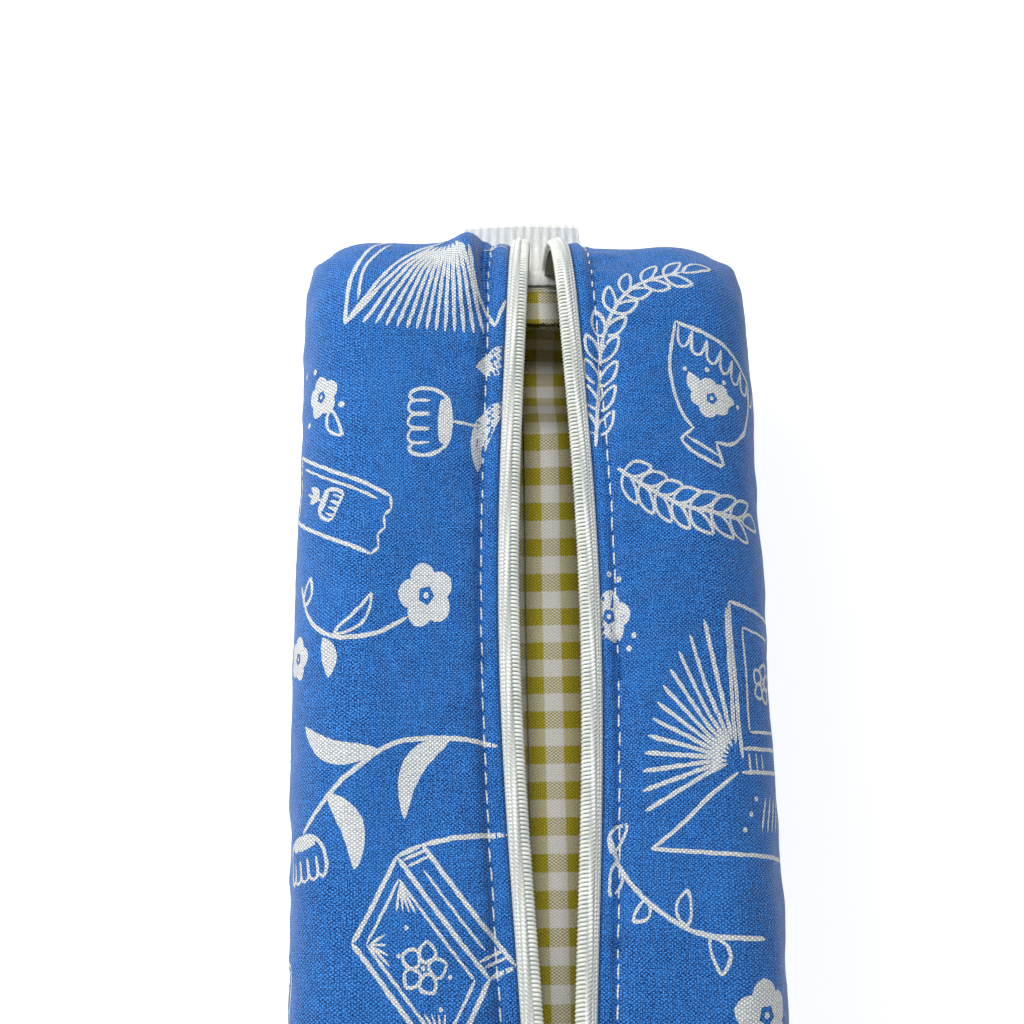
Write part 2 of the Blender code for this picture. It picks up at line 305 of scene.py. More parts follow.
class Cloth:
    """One layer of one side of the case as a grid, with its cloth coordinates.

    side is -1 for left and 1 for right. inset is how far the layer lies inside the cotton's face,
    and edge where it starts, from the teeth. steps are those of the grid: along the case, across it
    by the zip, and across it elsewhere.
    """

    def __init__(self, side, inset, edge, steps, folded=False):
        row_step, fine_step, coarse_step = steps
        self.side, self.inset = side, inset
        self.out = None
        rows = int(round(2 * END_V / row_step)) + 1
        self.v = np.linspace(-END_V, END_V, rows)
        flat = WIDTH / 2 - SIDE_RADIUS - side * ZIP_X - edge
        arc = (SIDE_RADIUS - inset) * math.pi / 2
        upright = HEIGHT - 2 * SIDE_RADIUS
        under = WIDTH / 2 - SIDE_RADIUS
        fine = np.arange(0, FINE_RUN, fine_step)
        coarse = np.arange(FINE_RUN, flat - 0.6 * coarse_step, coarse_step)
        arc_cols = max(6, int(arc / coarse_step))
        side_cols = max(8, int(upright / (1.3 * coarse_step)))
        under_cols = max(6, int(under / (1.6 * coarse_step)))
        shares = (np.concatenate([fine, coarse]) / flat, np.arange(arc_cols) / arc_cols,
                  np.arange(side_cols) / side_cols, np.arange(arc_cols) / arc_cols,
                  np.arange(under_cols + 1) / under_cols)
        lengths = (flat, arc, upright, arc, under)
        self.marks = np.concatenate([[0], np.cumsum(lengths)])
        self.total = self.marks[-1]
        self.parts = [(k, t) for k, run in enumerate(shares) for t in run]
        self.u = np.array([self.marks[k] + t * lengths[k] for k, t in self.parts])
        self.grid = self.lay_out(edge)
        if folded:
            self.add_fold(edge)

    def lay_out(self, edge):
        """The grid: over the top, round the shoulder, down the wall, round again and under the bottom."""
        y, half_height, half_width = profile(self.v, self.inset)
        radius = np.minimum(SIDE_RADIUS - self.inset, 0.9 * half_height)
        shoulder = half_width - radius
        start = self.side * ZIP_X + tip(self.v) + edge
        grid = np.zeros((len(self.v), len(self.parts), 3))
        for col, (part, t) in enumerate(self.parts):
            turn = t * math.pi / 2
            if part == 0:
                x, z = start + t * (shoulder - start), half_height
            elif part == 1:
                x = shoulder + radius * math.sin(turn)
                z = half_height - radius * (1 - math.cos(turn))
            elif part == 2:
                x, z = half_width, (half_height - radius) * (1 - 2 * t)
            elif part == 3:
                x = shoulder + radius * math.cos(turn)
                z = -half_height + radius * (1 - math.sin(turn))
            else:
                x, z = shoulder * (1 - t) + CENTRE_GAP * t, -half_height
            grid[:, col, 0] = self.side * x
            grid[:, col, 1] = y
            grid[:, col, 2] = MID_Z + z
        return grid

    def add_fold(self, edge):
        """Turns the cotton's edge under: a round fold and a flap below it."""
        radius = FOLD_RADIUS
        around = np.linspace(0, math.pi, 9)[:-1]
        offsets = [(dx, -2 * radius) for dx in FLAP]
        offsets += [(radius - radius * math.sin(a), -radius - radius * math.cos(a)) for a in around]
        columns = [zip_point(self.side, self.v, edge + dx, dz) for dx, dz in offsets]
        keep = self.u > radius * 0.9
        self.grid = np.concatenate([np.stack(columns, axis=1), self.grid[:, keep]], axis=1)
        lengths = [radius - radius * math.pi - dx for dx in FLAP]
        lengths += list(radius - radius * (math.pi - around))
        self.u = np.concatenate([lengths, self.u[keep]])

    def push(self, amount):
        """Moves the grid along its normals by amount (rows, cols), in millimetres."""
        self.grid += normals_of(self.grid, self.side) * amount[..., None]
        self.out = None

    def drape(self, u, v, lift):
        """Places cloth coordinates on the surface, lift above it."""
        if self.out is None:
            self.out = normals_of(self.grid, self.side)
        col = np.interp(u, self.u, np.arange(len(self.u)))
        row = np.interp(v, self.v, np.arange(len(self.v)))
        c = np.clip(col.astype(int), 0, len(self.u) - 2)
        r = np.clip(row.astype(int), 0, len(self.v) - 2)
        fc, fr = (col - c)[..., None], (row - r)[..., None]

        def between(field):
            near = field[r, c] * (1 - fc) + field[r, c + 1] * fc
            far = field[r + 1, c] * (1 - fc) + field[r + 1, c + 1] * fc
            return near * (1 - fr) + far * fr

        return between(self.grid) + between(self.out) * lift

    def mesh(self, cloth, weights):
        """The grid as a mesh, with the cloth coordinates and the shares given for each point."""
        build = Build()
        faces = grid_faces(*self.grid.shape[:2], flip=self.side < 0)
        build.add(self.grid, faces, np.stack(cloth, axis=-1), weights.ravel())
        return build


# ------------------------------------------------------------------ materials

class Material:
    """A Principled material with short calls for its nodes."""

    def __init__(self, name, roughness, specular, sheen=None, **sockets):
        self.mat = bpy.data.materials.new(name)
        self.mat.use_nodes = True
        self.tree = self.mat.node_tree
        self.bsdf = self.tree.nodes["Principled BSDF"]
        sockets.update(Roughness=roughness, Specular_IOR_Level=specular)
        if sheen:
            sockets.update(Sheen_Weight=sheen[0], Sheen_Roughness=sheen[1])
        for socket, value in sockets.items():
            self.bsdf.inputs[socket.replace("_", " ")].default_value = value

    def node(self, kind, **settings):
        made = self.tree.nodes.new(kind)
        for key, value in settings.items():
            setattr(made, key, value)
        return made

    def put(self, value, socket):
        if isinstance(value, bpy.types.NodeSocket):
            self.tree.links.new(value, socket)
        else:
            socket.default_value = value

    def math(self, operation, a, b=0.0):
        made = self.node("ShaderNodeMath", operation=operation)
        self.put(a, made.inputs[0])
        self.put(b, made.inputs[1])
        return made.outputs[0]

    def times(self, a, b):
        return self.math("MULTIPLY", a, b)

    def plus(self, a, b):
        return self.math("ADD", a, b)

    def minus(self, a, b):
        return self.math("SUBTRACT", a, b)

    def sine(self, angle):
        return self.math("SINE", angle)

    def mix(self, share, a, b):
        made = self.node("ShaderNodeMix", data_type="RGBA")
        self.put(share, made.inputs[0])
        self.put(a, made.inputs[6])
        self.put(b, made.inputs[7])
        return made.outputs[2]

    def ramp(self, value, low, high, to_low=0.0, to_high=1.0):
        made = self.node("ShaderNodeMapRange", interpolation_type="SMOOTHSTEP")
        for socket, x in zip(made.inputs, (value, low, high, to_low, to_high)):
            self.put(x, socket)
        return made.outputs[0]

    def cloth(self):
        uv = self.node("ShaderNodeUVMap", uv_map="cloth").outputs[0]
        split = self.node("ShaderNodeSeparateXYZ")
        self.put(uv, split.inputs[0])
        return uv, split.outputs[0], split.outputs[1]

    def noise(self, vector, across, along, detail=2.0):
        """Noise with grains of about across by along metres."""
        place = self.node("ShaderNodeMapping")
        place.inputs["Scale"].default_value = (1 / across, 1 / along, 1 / across)
        self.put(vector, place.inputs[0])
        made = self.node("ShaderNodeTexNoise")
        made.inputs["Scale"].default_value = 1.0
        made.inputs["Detail"].default_value = detail
        self.put(place.outputs[0], made.inputs["Vector"])
        return made.outputs[0]

    def position(self):
        return self.node("ShaderNodeTexCoord").outputs["Object"]

    def colour(self, value):
        self.put(value, self.bsdf.inputs["Base Color"])

    def rough(self, value):
        self.put(value, self.bsdf.inputs["Roughness"])

    def bump(self, height, distance, strength=1.0, below=None):
        made = self.node("ShaderNodeBump")
        made.inputs["Strength"].default_value = strength
        made.inputs["Distance"].default_value = distance
        self.put(height, made.inputs["Height"])
        if below is not None:
            self.put(below, made.inputs["Normal"])
        self.put(made.outputs[0], self.bsdf.inputs["Normal"])
        return made.outputs[0]


def rgb(red, green, blue):
    """An sRGB colour, 0 to 255, as linear RGBA."""
    def linear(c):
        c /= 255
        return c / 12.92 if c <= 0.04045 else ((c + 0.055) / 1.055) ** 2.4
    return (linear(red), linear(green), linear(blue), 1.0)


# Lengths in metres, as the shader sees them
YARN = 0.0004               # from one warp yarn to the next
TAPE_YARN = 0.00032
HERRINGBONE, TWILL_PITCH = 0.0013, 0.0008
WEFT_PITCH = 0.00042        # of the ribbon
PLY_PITCH = 0.0006          # of the sewing thread's twist
PICK = 0.72                 # the weft lies this much closer than the warp


def weave(m, period=YARN):
    """Plain weave over the cloth coordinates: its height, the yarns' slubs, and which yarn is on top."""
    uv, u, v = m.cloth()
    warp_slub = m.noise(uv, 0.0005, 0.0030)
    weft_slub = m.noise(uv, 0.0030, 0.0005)
    wander = m.noise(uv, 0.0016, 0.0016)
    shift = m.times(m.minus(wander, 0.5), 0.7 * period)
    warp = m.times(m.plus(u, shift), math.pi / period)
    weft = m.times(m.plus(v, shift), math.pi / (PICK * period))
    over = m.times(m.sine(warp), m.sine(weft))
    hole = m.math("ABSOLUTE", m.times(m.math("COSINE", warp), m.math("COSINE", weft)))
    hole = m.math("POWER", hole, 1.6)
    crowns = m.plus(m.times(over, 0.34), 0.60)
    height = m.minus(crowns, m.times(hole, 0.45))
    return uv, height, warp_slub, weft_slub, over


def printed_cotton(name, deep, pale, worn, speckle):
    """Matt plain-weave cotton: the hollows between yarns are painted darker, as shade, and the crowns paler.
    """
    m = Material(name, 0.88, 0.14, (0.16, 0.45))
    uv, height, warp_slub, weft_slub, _ = weave(m)
    slub = m.plus(m.ramp(warp_slub, 0.40, 0.70), m.ramp(weft_slub, 0.40, 0.70))
    fibres = m.times(m.ramp(m.noise(uv, 0.00026, 0.00017, 1.0), 0.30, 0.70), speckle)
    weave_shade_and_fibres = m.plus(m.times(height, 1 - speckle), fibres)
    weave_shade_and_fibres = m.plus(weave_shade_and_fibres, m.times(slub, 0.06))
    cloud = m.noise(uv, 0.016, 0.022, 3.0)
    # Painted shade: the colour runs from deep in the weave's hollows to pale on its crowns, with random
    # fibre and slub tone
    body = m.mix(m.ramp(weave_shade_and_fibres, 0.26, 0.92), deep, pale)
    rubbed = m.times(m.ramp(cloud, 0.40, 0.75), 0.16)
    m.colour(m.mix(rubbed, body, worn))
    m.rough(m.ramp(weave_shade_and_fibres, 0.0, 1.0, 0.94, 0.82))
    weaving = m.bump(height, 0.00009, 0.9)
    m.bump(slub, 0.00005, 0.5, below=weaving)
    return m.mat


def gingham_cotton(name):
    """Yarn-dyed gingham: both yarns dyed is olive, one dyed is a mixed tone, and none is white."""
    m = Material(name, 0.88, 0.2, (0.2, 0.5))
    uv, height, warp_slub, weft_slub, over = weave(m)
    _, u, v = m.cloth()
    bands = []
    for axis, check, phase, slub in zip((u, v), CHECK, CHECK_PHASE, (warp_slub, weft_slub)):
        ragged = m.times(m.minus(slub, 0.5), 0.0003)
        place = m.plus(m.plus(axis, phase * MM), ragged)
        wave = m.sine(m.times(place, math.pi / (check * MM)))
        bands.append(m.ramp(wave, -0.12, 0.12))
    on_top = m.ramp(over, -0.35, 0.35)
    dyed = m.plus(m.times(bands[0], on_top), m.times(bands[1], m.minus(1.0, on_top)))
    both = m.times(m.plus(bands[0], bands[1]), 0.5)
    dyed = m.plus(m.times(dyed, 0.7), m.times(both, 0.3))
    thin = m.times(m.plus(warp_slub, weft_slub), 0.5)
    fibres = m.noise(uv, 0.00030, 0.00022, 1.0)
    light = m.plus(m.times(height, 0.5), m.times(fibres, 0.7))
    # Painted shade: olive and white each run darker into the weave's hollows and paler on the crowns, with
    # random fibre tone
    olive = m.mix(m.ramp(light, 0.30, 0.85), rgb(132, 120, 0), rgb(214, 200, 62))
    white = m.mix(m.ramp(light, 0.30, 0.85), rgb(214, 212, 202), rgb(255, 254, 250))
    m.colour(m.mix(dyed, white, olive))
    weaving = m.bump(height, 0.00008, 0.8)
    m.bump(thin, 0.00008, 0.5, below=weaving)
    return m.mat


def woven_tape(name):
    """Polyester tape or ribbon, woven with a fine herringbone."""
    m = Material(name, 0.72, 0.3, (0.15, 0.4))
    _, height, _, _, _ = weave(m, TAPE_YARN)
    _, u, v = m.cloth()
    zig = m.math("PINGPONG", u, HERRINGBONE)
    twill = m.sine(m.times(m.plus(v, zig), 2 * math.pi / TWILL_PITCH))
    # Painted shade: the tape runs darker in the weave's hollows and in the twill's furrows
    rows = m.plus(m.times(height, 0.5), m.times(twill, 0.25))
    m.colour(m.mix(m.ramp(rows, -0.1, 0.7), rgb(188, 192, 188), rgb(228, 230, 226)))
    m.bump(rows, 0.00009, 0.7)
    return m.mat


def ribbed_ribbon(name):
    """Grosgrain: the ribs are in the mesh, and the fine weft shows across them."""
    m = Material(name, 0.62, 0.35, (0.2, 0.35))
    uv, _, v = m.cloth()
    picks = m.sine(m.times(v, 2 * math.pi / WEFT_PITCH))
    shade = m.plus(m.times(picks, 0.10), m.noise(uv, 0.0004, 0.0018))
    m.colour(m.mix(m.ramp(shade, 0.2, 0.9), rgb(212, 213, 208), rgb(240, 240, 236)))
    m.bump(shade, 0.00007, 0.6)
    return m.mat


def nylon(name):
    """White nylon monofilament of the teeth: smooth, a little milky, slightly soiled in patches."""
    m = Material(name, 0.34, 0.5, Subsurface_Weight=0.12, Subsurface_Scale=0.0006)
    m.bsdf.inputs["Subsurface Radius"].default_value = (1.0, 0.95, 0.85)
    place = m.position()
    cloud = m.noise(place, 0.0035, 0.0035, 3.0)
    speck = m.noise(place, 0.0003, 0.0003)
    m.colour(m.mix(m.ramp(cloud, 0.35, 0.7), rgb(202, 207, 200), rgb(226, 229, 222)))
    m.rough(m.ramp(speck, 0.3, 0.7, 0.28, 0.46))
    m.bump(speck, 0.00002, 0.4)
    return m.mat


def sewing_thread(name, dark, pale):
    """Two-ply polyester thread: a twist, and fine hairs."""
    m = Material(name, 0.55, 0.4, (0.3, 0.4))
    _, u, v = m.cloth()
    ply = m.sine(m.times(m.plus(u, v), 2 * math.pi / PLY_PITCH))
    hair = m.noise(m.position(), 0.00025, 0.00025)
    shade = m.plus(m.times(ply, 0.3), hair)
    m.colour(m.mix(m.ramp(shade, 0.2, 0.9), dark, pale))
    m.bump(shade, 0.00008, 0.8)
    return m.mat


def fleece(name):
    """Needled fleece: a felt of loose fibres."""
    m = Material(name, 0.95, 0.15, (0.5, 0.6))
    place = m.position()
    fibres = m.noise(place, 0.0006, 0.0006, 5.0)
    lumps = m.noise(place, 0.005, 0.005, 3.0)
    m.colour(m.mix(m.ramp(m.plus(fibres, lumps), 0.7, 1.3), rgb(206, 206, 198), rgb(240, 240, 234)))
    m.bump(fibres, 0.0004, 0.9)
    return m.mat


def enamel(name):
    """White enamel on die-cast zinc, with a faint orange peel and metal where the edges have worn."""
    m = Material(name, 0.3, 0.5, Coat_Weight=0.4, Coat_Roughness=0.12)
    place = m.position()
    peel = m.noise(place, 0.0007, 0.0007)
    rub = m.noise(place, 0.0018, 0.0018, 4.0)
    edge = m.node("ShaderNodeNewGeometry").outputs["Pointiness"]
    worn = m.times(m.ramp(edge, 0.56, 0.66), m.ramp(rub, 0.54, 0.66))
    paint = m.mix(m.ramp(rub, 0.3, 0.7), rgb(222, 225, 221), rgb(236, 238, 234))
    m.colour(m.mix(worn, paint, rgb(176, 176, 172)))
    m.put(m.times(worn, 0.9), m.bsdf.inputs["Metallic"])
    m.rough(m.ramp(peel, 0.3, 0.7, 0.24, 0.38))
    m.bump(peel, 0.00003, 0.3)
    return m.mat


def floor_paint(name):
    """Flat white, with a little light of its own that thins the case's shadow."""
    m = Material(name, 0.9, 0.1, Emission_Strength=0.24)
    cloud = m.noise(m.position(), 0.08, 0.08, 3.0)
    m.colour(m.mix(cloud, rgb(250, 250, 250), rgb(254, 254, 254)))
    return m.mat


CHECK = (3.45, 3.22)        # gingham checks across and along, in millimetres
CHECK_PHASE = (0.35, 0.9)   # where they begin

# Each deep tone is the colour painted into the weave's hollows, as shade; each pale one is that of the
# crowns
COTTON = printed_cotton("printed_cotton", rgb(0, 14, 74), rgb(66, 146, 232), rgb(54, 122, 202), 0.46)
INK = printed_cotton("white_ink", rgb(128, 138, 148), rgb(244, 243, 238), rgb(224, 226, 224), 0.30)
GINGHAM = gingham_cotton("gingham_cotton")
TAPE = woven_tape("zip_tape")
RIBBON = ribbed_ribbon("ribbon")
NYLON = nylon("nylon_coil")
THREAD = sewing_thread("thread", rgb(176, 180, 176), rgb(228, 230, 226))
FLEECE = fleece("fleece")
ENAMEL = enamel("slider_enamel")


# ------------------------------------------------------------------ making and placing pieces

SIDES = {"left": -1, "right": 1}


def follow(obj):
    """Bakes obj's place into its mesh.
    """
    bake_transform(obj)


COTTON_THICK, FLEECE_THICK, LINING_THICK, RIBBON_THICK, TAPE_THICK = 0.35, 0.8, 0.3, 0.35, 0.28
COTTON_SEED, PRINT_SEED, TOSS_SEED, FLEECE_SEED, LINING_SEED, STITCH_SEED = 20, 40, 60, 70, 80, 90


def thicken(obj, thickness):
    """Gives a sheet its thickness, in millimetres, on the inner side."""
    made = obj.modifiers.new("thickness", "SOLIDIFY")
    made.thickness = thickness * MM
    made.offset = -1.0
    made.use_even_offset = False
    made.use_quality_normals = True


def give_way(u, start, end):
    """How much of the lip's travel the cloth takes at u: all by the zip, none from end on."""
    return 1 - smoothstep((u - start) / (end - start))


def panel_weight(u, v):
    """A lip's travel over the cotton: all of it to the topstitching, and none 30 mm from the zip."""
    return lip_weight(v) * give_way(u, 4.5, 30.0)


def into_ends(v, before, length):
    """0 along the straight top, 1 over the rolled ends, from before the roll over length."""
    return smoothstep((np.abs(v) - STRAIGHT + before) / length)


def off_ends(v, length):
    """1 along the case, falling to 0 at the end seams over length."""
    return smoothstep((END_V - np.abs(v)) / length)


# ------------------------------------------------------------------ outer cotton

# Relief of the padded cotton, in millimetres
ROLL_CROWN = {-1: 0.45, 1: -0.45}   # share of the crown left over the rolled ends, by side
CROWN, CROWN_RUN = 1.8, 1.9         # the padding's rise beyond the topstitching, and how soon
WALL_BULGE, WALL_SINK = 0.65, 1.25
LIP_ROUND, GROOVE = 0.28, 0.60      # between fold and topstitching, and along the stitches
PUCKER, TUG = 0.11, 0.22            # drawn by each stitch, and by the seam as a whole
SLACK, RIPPLE, GATHER = 0.32, 0.09, 0.30
BULGE, CREASE, FOLD_AT = 2.1, 2.1, 95.0
FOLD_STRENGTH = {-1: 1.0, 1: 0.1}   # the fold at the far end, by side
CORNER_DEPTH, CORNER_REACH = 1.0, 12.0


def panel_relief(panel, side):
    """How far the padded cotton stands proud of its plain shape, in millimetres."""
    u, v = np.meshgrid(panel.u, panel.v)
    marks = panel.marks
    ends = off_ends(v, 9.0)
    top = 1 - (1 - ROLL_CROWN[side]) * into_ends(v, 2.0, 14.0)
    shoulder = 1 - smoothstep((u - marks[1] + 5.0) / (marks[2] - marks[1] + 5.0))
    under = 1 - smoothstep((u - marks[3] - 2.0) / (marks[4] - marks[3] - 2.0))
    out = np.clip(u - STITCH_U, 0, None)
    crown = CROWN * (1 - np.exp(-out / CROWN_RUN)) * top * shoulder * ends
    down = np.clip((u - marks[1]) / (marks[4] - marks[1]), 0, 1)
    wall = (WALL_BULGE * np.sin(np.pi * down) - WALL_SINK) * smoothstep(down / 0.25) * ends
    lip = LIP_ROUND * np.sin(np.pi * np.clip(u / STITCH_U, 0, 1))
    groove = -GROOVE * dip(u - STITCH_U, 0.75)
    pucker = PUCKER * np.cos(2 * np.pi / STITCH_PITCH * v) * dip(u - STITCH_U - 0.4, 1.5)
    seed = COTTON_SEED + side
    off_fold = smoothstep((u - 0.5) / 4.0)
    tug = TUG * Waves(seed, 7.0, stretch=(2.6, 1.0))(u, v) * dip(out, 6.0) * off_fold
    slack = SLACK * Waves(seed + 4, 34.0, stretch=(1.0, 1.7))(u, v) + RIPPLE * Waves(seed + 8, 12.0)(u, v)
    gather = GATHER * Waves(seed + 12, 6.0, stretch=(1.0, 3.0))(u, v) * dip(END_V - np.abs(v), 7.0)
    loose = (slack * ends + gather) * off_fold
    return crown + wall * under + lip + groove + (pucker + tug) * ends + loose * under


def far_fold(panel, side):
    """At the far end the padding pushes the cotton over the lip, and a crease runs beside the stitches."""
    u, v = np.meshgrid(panel.u, panel.v)
    from_fold = v - FOLD_AT
    bulge = BULGE * dip(u - 7.8, 2.6)
    crease = CREASE * dip(u - 4.6 - 0.06 * from_fold, 1.25)
    return FOLD_STRENGTH[side] * (bulge - crease) * dip(from_fold, 8.5)


def corner_seams(panel):
    """The upright seams of the boxed corners pull the cloth in along a narrow line."""
    x, y, z = np.abs(panel.grid[..., 0]), np.abs(panel.grid[..., 1]), panel.grid[..., 2] - MID_Z
    in_x, in_y = WIDTH / 2 - x, LENGTH / 2 - y
    near = smoothstep((CORNER_REACH - in_x) / 4.0) * smoothstep((CORNER_REACH - in_y) / 4.0)
    upright = smoothstep((HEIGHT / 2 - 7.0 - np.abs(z)) / 5.0)
    return -CORNER_DEPTH * dip((in_x - in_y) / math.sqrt(2), 0.9) * near * upright


def make_room_for_tab(panel):
    """The far seam's lips part where the ribbon comes out between them."""
    x, y, z = np.moveaxis(panel.grid, -1, 0)
    at_tab = smoothstep((TAB_WIDTH / 2 + 1.6 - np.abs(x)) / 1.6) * (y > 0)
    by_seam = dip(z - MID_Z, 2.4) * smoothstep((np.abs(y) - LENGTH / 2 + 4.0) / 3.0)
    return at_tab * by_seam * np.where(z > MID_Z, 0.62, -0.30)


def outer_panel(name, side):
    """The printed cotton of one side, folded back along the zip."""
    panel = Cloth(side, 0.0, FOLD_EDGE, COTTON_STEPS, folded=True)
    panel.push(panel_relief(panel, side) + corner_seams(panel))
    panel.push(far_fold(panel, side))
    panel.grid[..., 2] += make_room_for_tab(panel)
    panel.grid[..., 2] = np.maximum(panel.grid[..., 2], INK_LIFT)
    u, v = np.meshgrid(panel.u, panel.v)
    obj, weights = panel.mesh((u, v), panel_weight(u, v)).make("cotton_" + name, COTTON)
    thicken(obj, COTTON_THICK)
    follow(obj)
    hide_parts("outer_panel_" + name)
    return panel


# ------------------------------------------------------------------ print on the cotton

def smooth_path(points, step=0.7):
    """An even polyline through the points, on a smooth curve."""
    p = np.asarray(points, float)
    if len(p) == 2:
        count = max(2, int(np.linalg.norm(p[1] - p[0]) / step) + 1)
        return p[0] + (p[1] - p[0]) * np.linspace(0, 1, count)[:, None]
    p = np.concatenate([[2 * p[0] - p[1]], p, [2 * p[-1] - p[-2]]])
    t = np.linspace(0, 1, 12, endpoint=False)[:, None]
    runs = []
    for a, b, c, d in zip(p[:-3], p[1:-2], p[2:-1], p[3:]):
        runs.append(0.5 * (2 * b + (c - a) * t + (2 * a - 5 * b + 4 * c - d) * t ** 2
                           + (3 * b - a - 3 * c + d) * t ** 3))
    path = np.concatenate(runs + [p[-2:-1]])
    length = np.concatenate([[0], np.cumsum(np.linalg.norm(np.diff(path, axis=0), axis=1))])
    even = np.linspace(0, length[-1], max(3, int(length[-1] / step) + 1))
    return np.stack([np.interp(even, length, path[:, 0]), np.interp(even, length, path[:, 1])], axis=1)


LINE = 0.62                 # usual width of a printed line
RAGGED = 0.045              # spread of the ink's edge


def placed(origin, turn, size=1.0):
    """Turns a motif's own coordinates into cloth coordinates."""
    c, s = math.cos(turn), math.sin(turn)
    return lambda x, y: (origin[0] + size * (x * c - y * s), origin[1] + size * (x * s + y * c))


def left_of(direction):
    return np.array([-direction[1], direction[0]])


def ahead_at(path, i):
    """Direction of a path at its point i."""
    return unit(path[i + 1] - path[i], 1e-9)


class Print:
    """White line drawings laid on one panel, as thin patches of ink that follow the cloth."""

    def __init__(self, panel, seed):
        self.panel = panel
        self.build = Build()
        self.rng = np.random.default_rng(seed)

    def patch(self, flat, faces):
        u, v = flat[:, 0], flat[:, 1]
        points = self.panel.drape(u, v, INK_LIFT)
        self.build.add(points, faces, flat, panel_weight(u, v))

    def ribbon(self, path, half):
        """A brush mark along path, half as wide as half at each point, with slightly ragged edges."""
        path = np.asarray(path, float)
        tangent = unit(np.gradient(path, axis=0), 1e-9)
        normal = left_of(tangent.T).T
        half = np.broadcast_to(half, len(path))
        ragged = RAGGED * self.rng.standard_normal((2, len(path)))
        lanes = 3 if float(np.max(half)) < 0.8 else 5
        rows = []
        for s in np.linspace(-1, 1, lanes):
            edge = ragged[0] if s < 0 else ragged[1]
            rows.append(path + normal * (s * half + edge * s * abs(s))[:, None])
        flat = np.stack(rows, axis=1).reshape(-1, 2)
        self.patch(flat, grid_faces(len(path), lanes, flip=self.panel.side > 0))

    def line(self, *points, width=LINE):
        path = smooth_path(points)
        t = np.linspace(0, 1, len(path))
        ends = np.sqrt(np.clip(np.minimum(t, 1 - t) * len(path) / 1.6, 0.12, 1))
        self.ribbon(path, 0.5 * width * ends)

    def strokes(self, at, *lines, width=LINE):
        """Lines whose points are in the coordinates that at takes."""
        for points in lines:
            self.line(*(at(*point) for point in points), width=width)

    def leaf(self, base, tip, width, filled=True, bend=0.12):
        """A pointed leaf from base to tip, filled or in outline."""
        base, tip = np.asarray(base, float), np.asarray(tip, float)
        along = tip - base
        across = left_of(along)
        t = np.linspace(0, 1, max(6, int(np.linalg.norm(along) / 0.6)))
        spine = base + along * t[:, None] + across * (bend * np.sin(np.pi * t))[:, None]
        half = 0.5 * width * np.sin(np.pi * t ** 0.9) ** 0.75
        if filled:
            self.ribbon(spine, half + 0.05)
            return
        normal = unit(across, 1e-9)
        for s in (-1, 1):
            self.ribbon(spine + normal * (s * half)[:, None], 0.42 * LINE)

    def dot(self, centre, radius=0.42):
        turn = np.linspace(0, 2 * np.pi, 8, endpoint=False)
        rim = np.asarray(centre) + radius * np.stack([np.cos(turn), np.sin(turn)], axis=1)
        order = tuple(range(8)) if self.panel.side < 0 else tuple(range(8))[::-1]
        self.patch(rim, [order])

    def flower(self, centre, radius, turn=0.3, filled=True):
        """Five round petals about a small eye."""
        centre = np.asarray(centre, float)
        for k in range(5):
            a = turn + 2 * math.pi * k / 5
            out = np.array([math.cos(a), math.sin(a)])
            if filled:
                t = np.linspace(0, 1, 12)
                half = radius * 0.44 * np.sin(np.pi * (0.12 + 0.88 * t)) ** 0.55
                self.ribbon(centre + out * (radius * (0.24 + 0.76 * t))[:, None], half)
            else:
                self.leaf(centre + out * 0.2 * radius, centre + out * radius, radius * 0.72, filled=False)
        self.dot(centre, 0.10 * radius)

    def tulip(self, base, turn, size):
        """A cup of petals with a filled base, on its base point."""
        at = placed(base, turn, size)
        for side in (1, -1):
            half = ((0, 0), (0.10, 0.44), (0.40, 0.66), (0.80, 0.68), (1.0, 0.56), (0.86, 0.40))
            self.strokes(at, [(x, side * y) for x, y in half])
        for s in (-0.30, 0.0, 0.30):
            petal = ((0.52, 0.13), (0.92, 0.13), (1.02, 0), (0.92, -0.13), (0.52, -0.13))
            self.strokes(at, [(x, s + y) for x, y in petal], width=0.5)
        t = np.linspace(-1, 1, 13)
        spine = np.array([at(0.16 + 0.05 * k * k, 0.46 * k) for k in t])
        self.ribbon(spine, size * (0.03 + 0.13 * np.sqrt(1 - 0.96 * t ** 2)))

    def sprig(self, stem, leaves, width=3.4, filled=True, length=6.5):
        """A curved stem with leaves on alternate sides."""
        path = smooth_path(stem)
        self.line(*stem, width=0.75)
        for k in range(leaves):
            i = int((k + 0.7) / leaves * (len(path) - 2))
            ahead = ahead_at(path, i)
            side = 1 if k % 2 else -1
            aside = left_of(ahead) * side
            end = path[i] + length * (0.72 * ahead + 0.70 * aside)
            self.leaf(path[i] + 0.5 * aside, end, width, filled, bend=0.14 * side)

    def laurel(self, stem, pairs, length=5.2, width=2.2):
        """A stem with pairs of open leaves and one at its end."""
        path = smooth_path(stem)
        self.line(*stem, width=0.7)
        for k in range(pairs):
            i = int((k + 0.5) / pairs * (len(path) - 2))
            ahead = ahead_at(path, i)
            for side in (-1, 1):
                leaf_run = length * (0.80 * ahead + 0.58 * side * left_of(ahead))
                self.leaf(path[i], path[i] + leaf_run, width, False, 0.05 * side)
        self.leaf(path[-1], path[-1] + length * unit(path[-1] - path[-3], 1e-9), width, False)

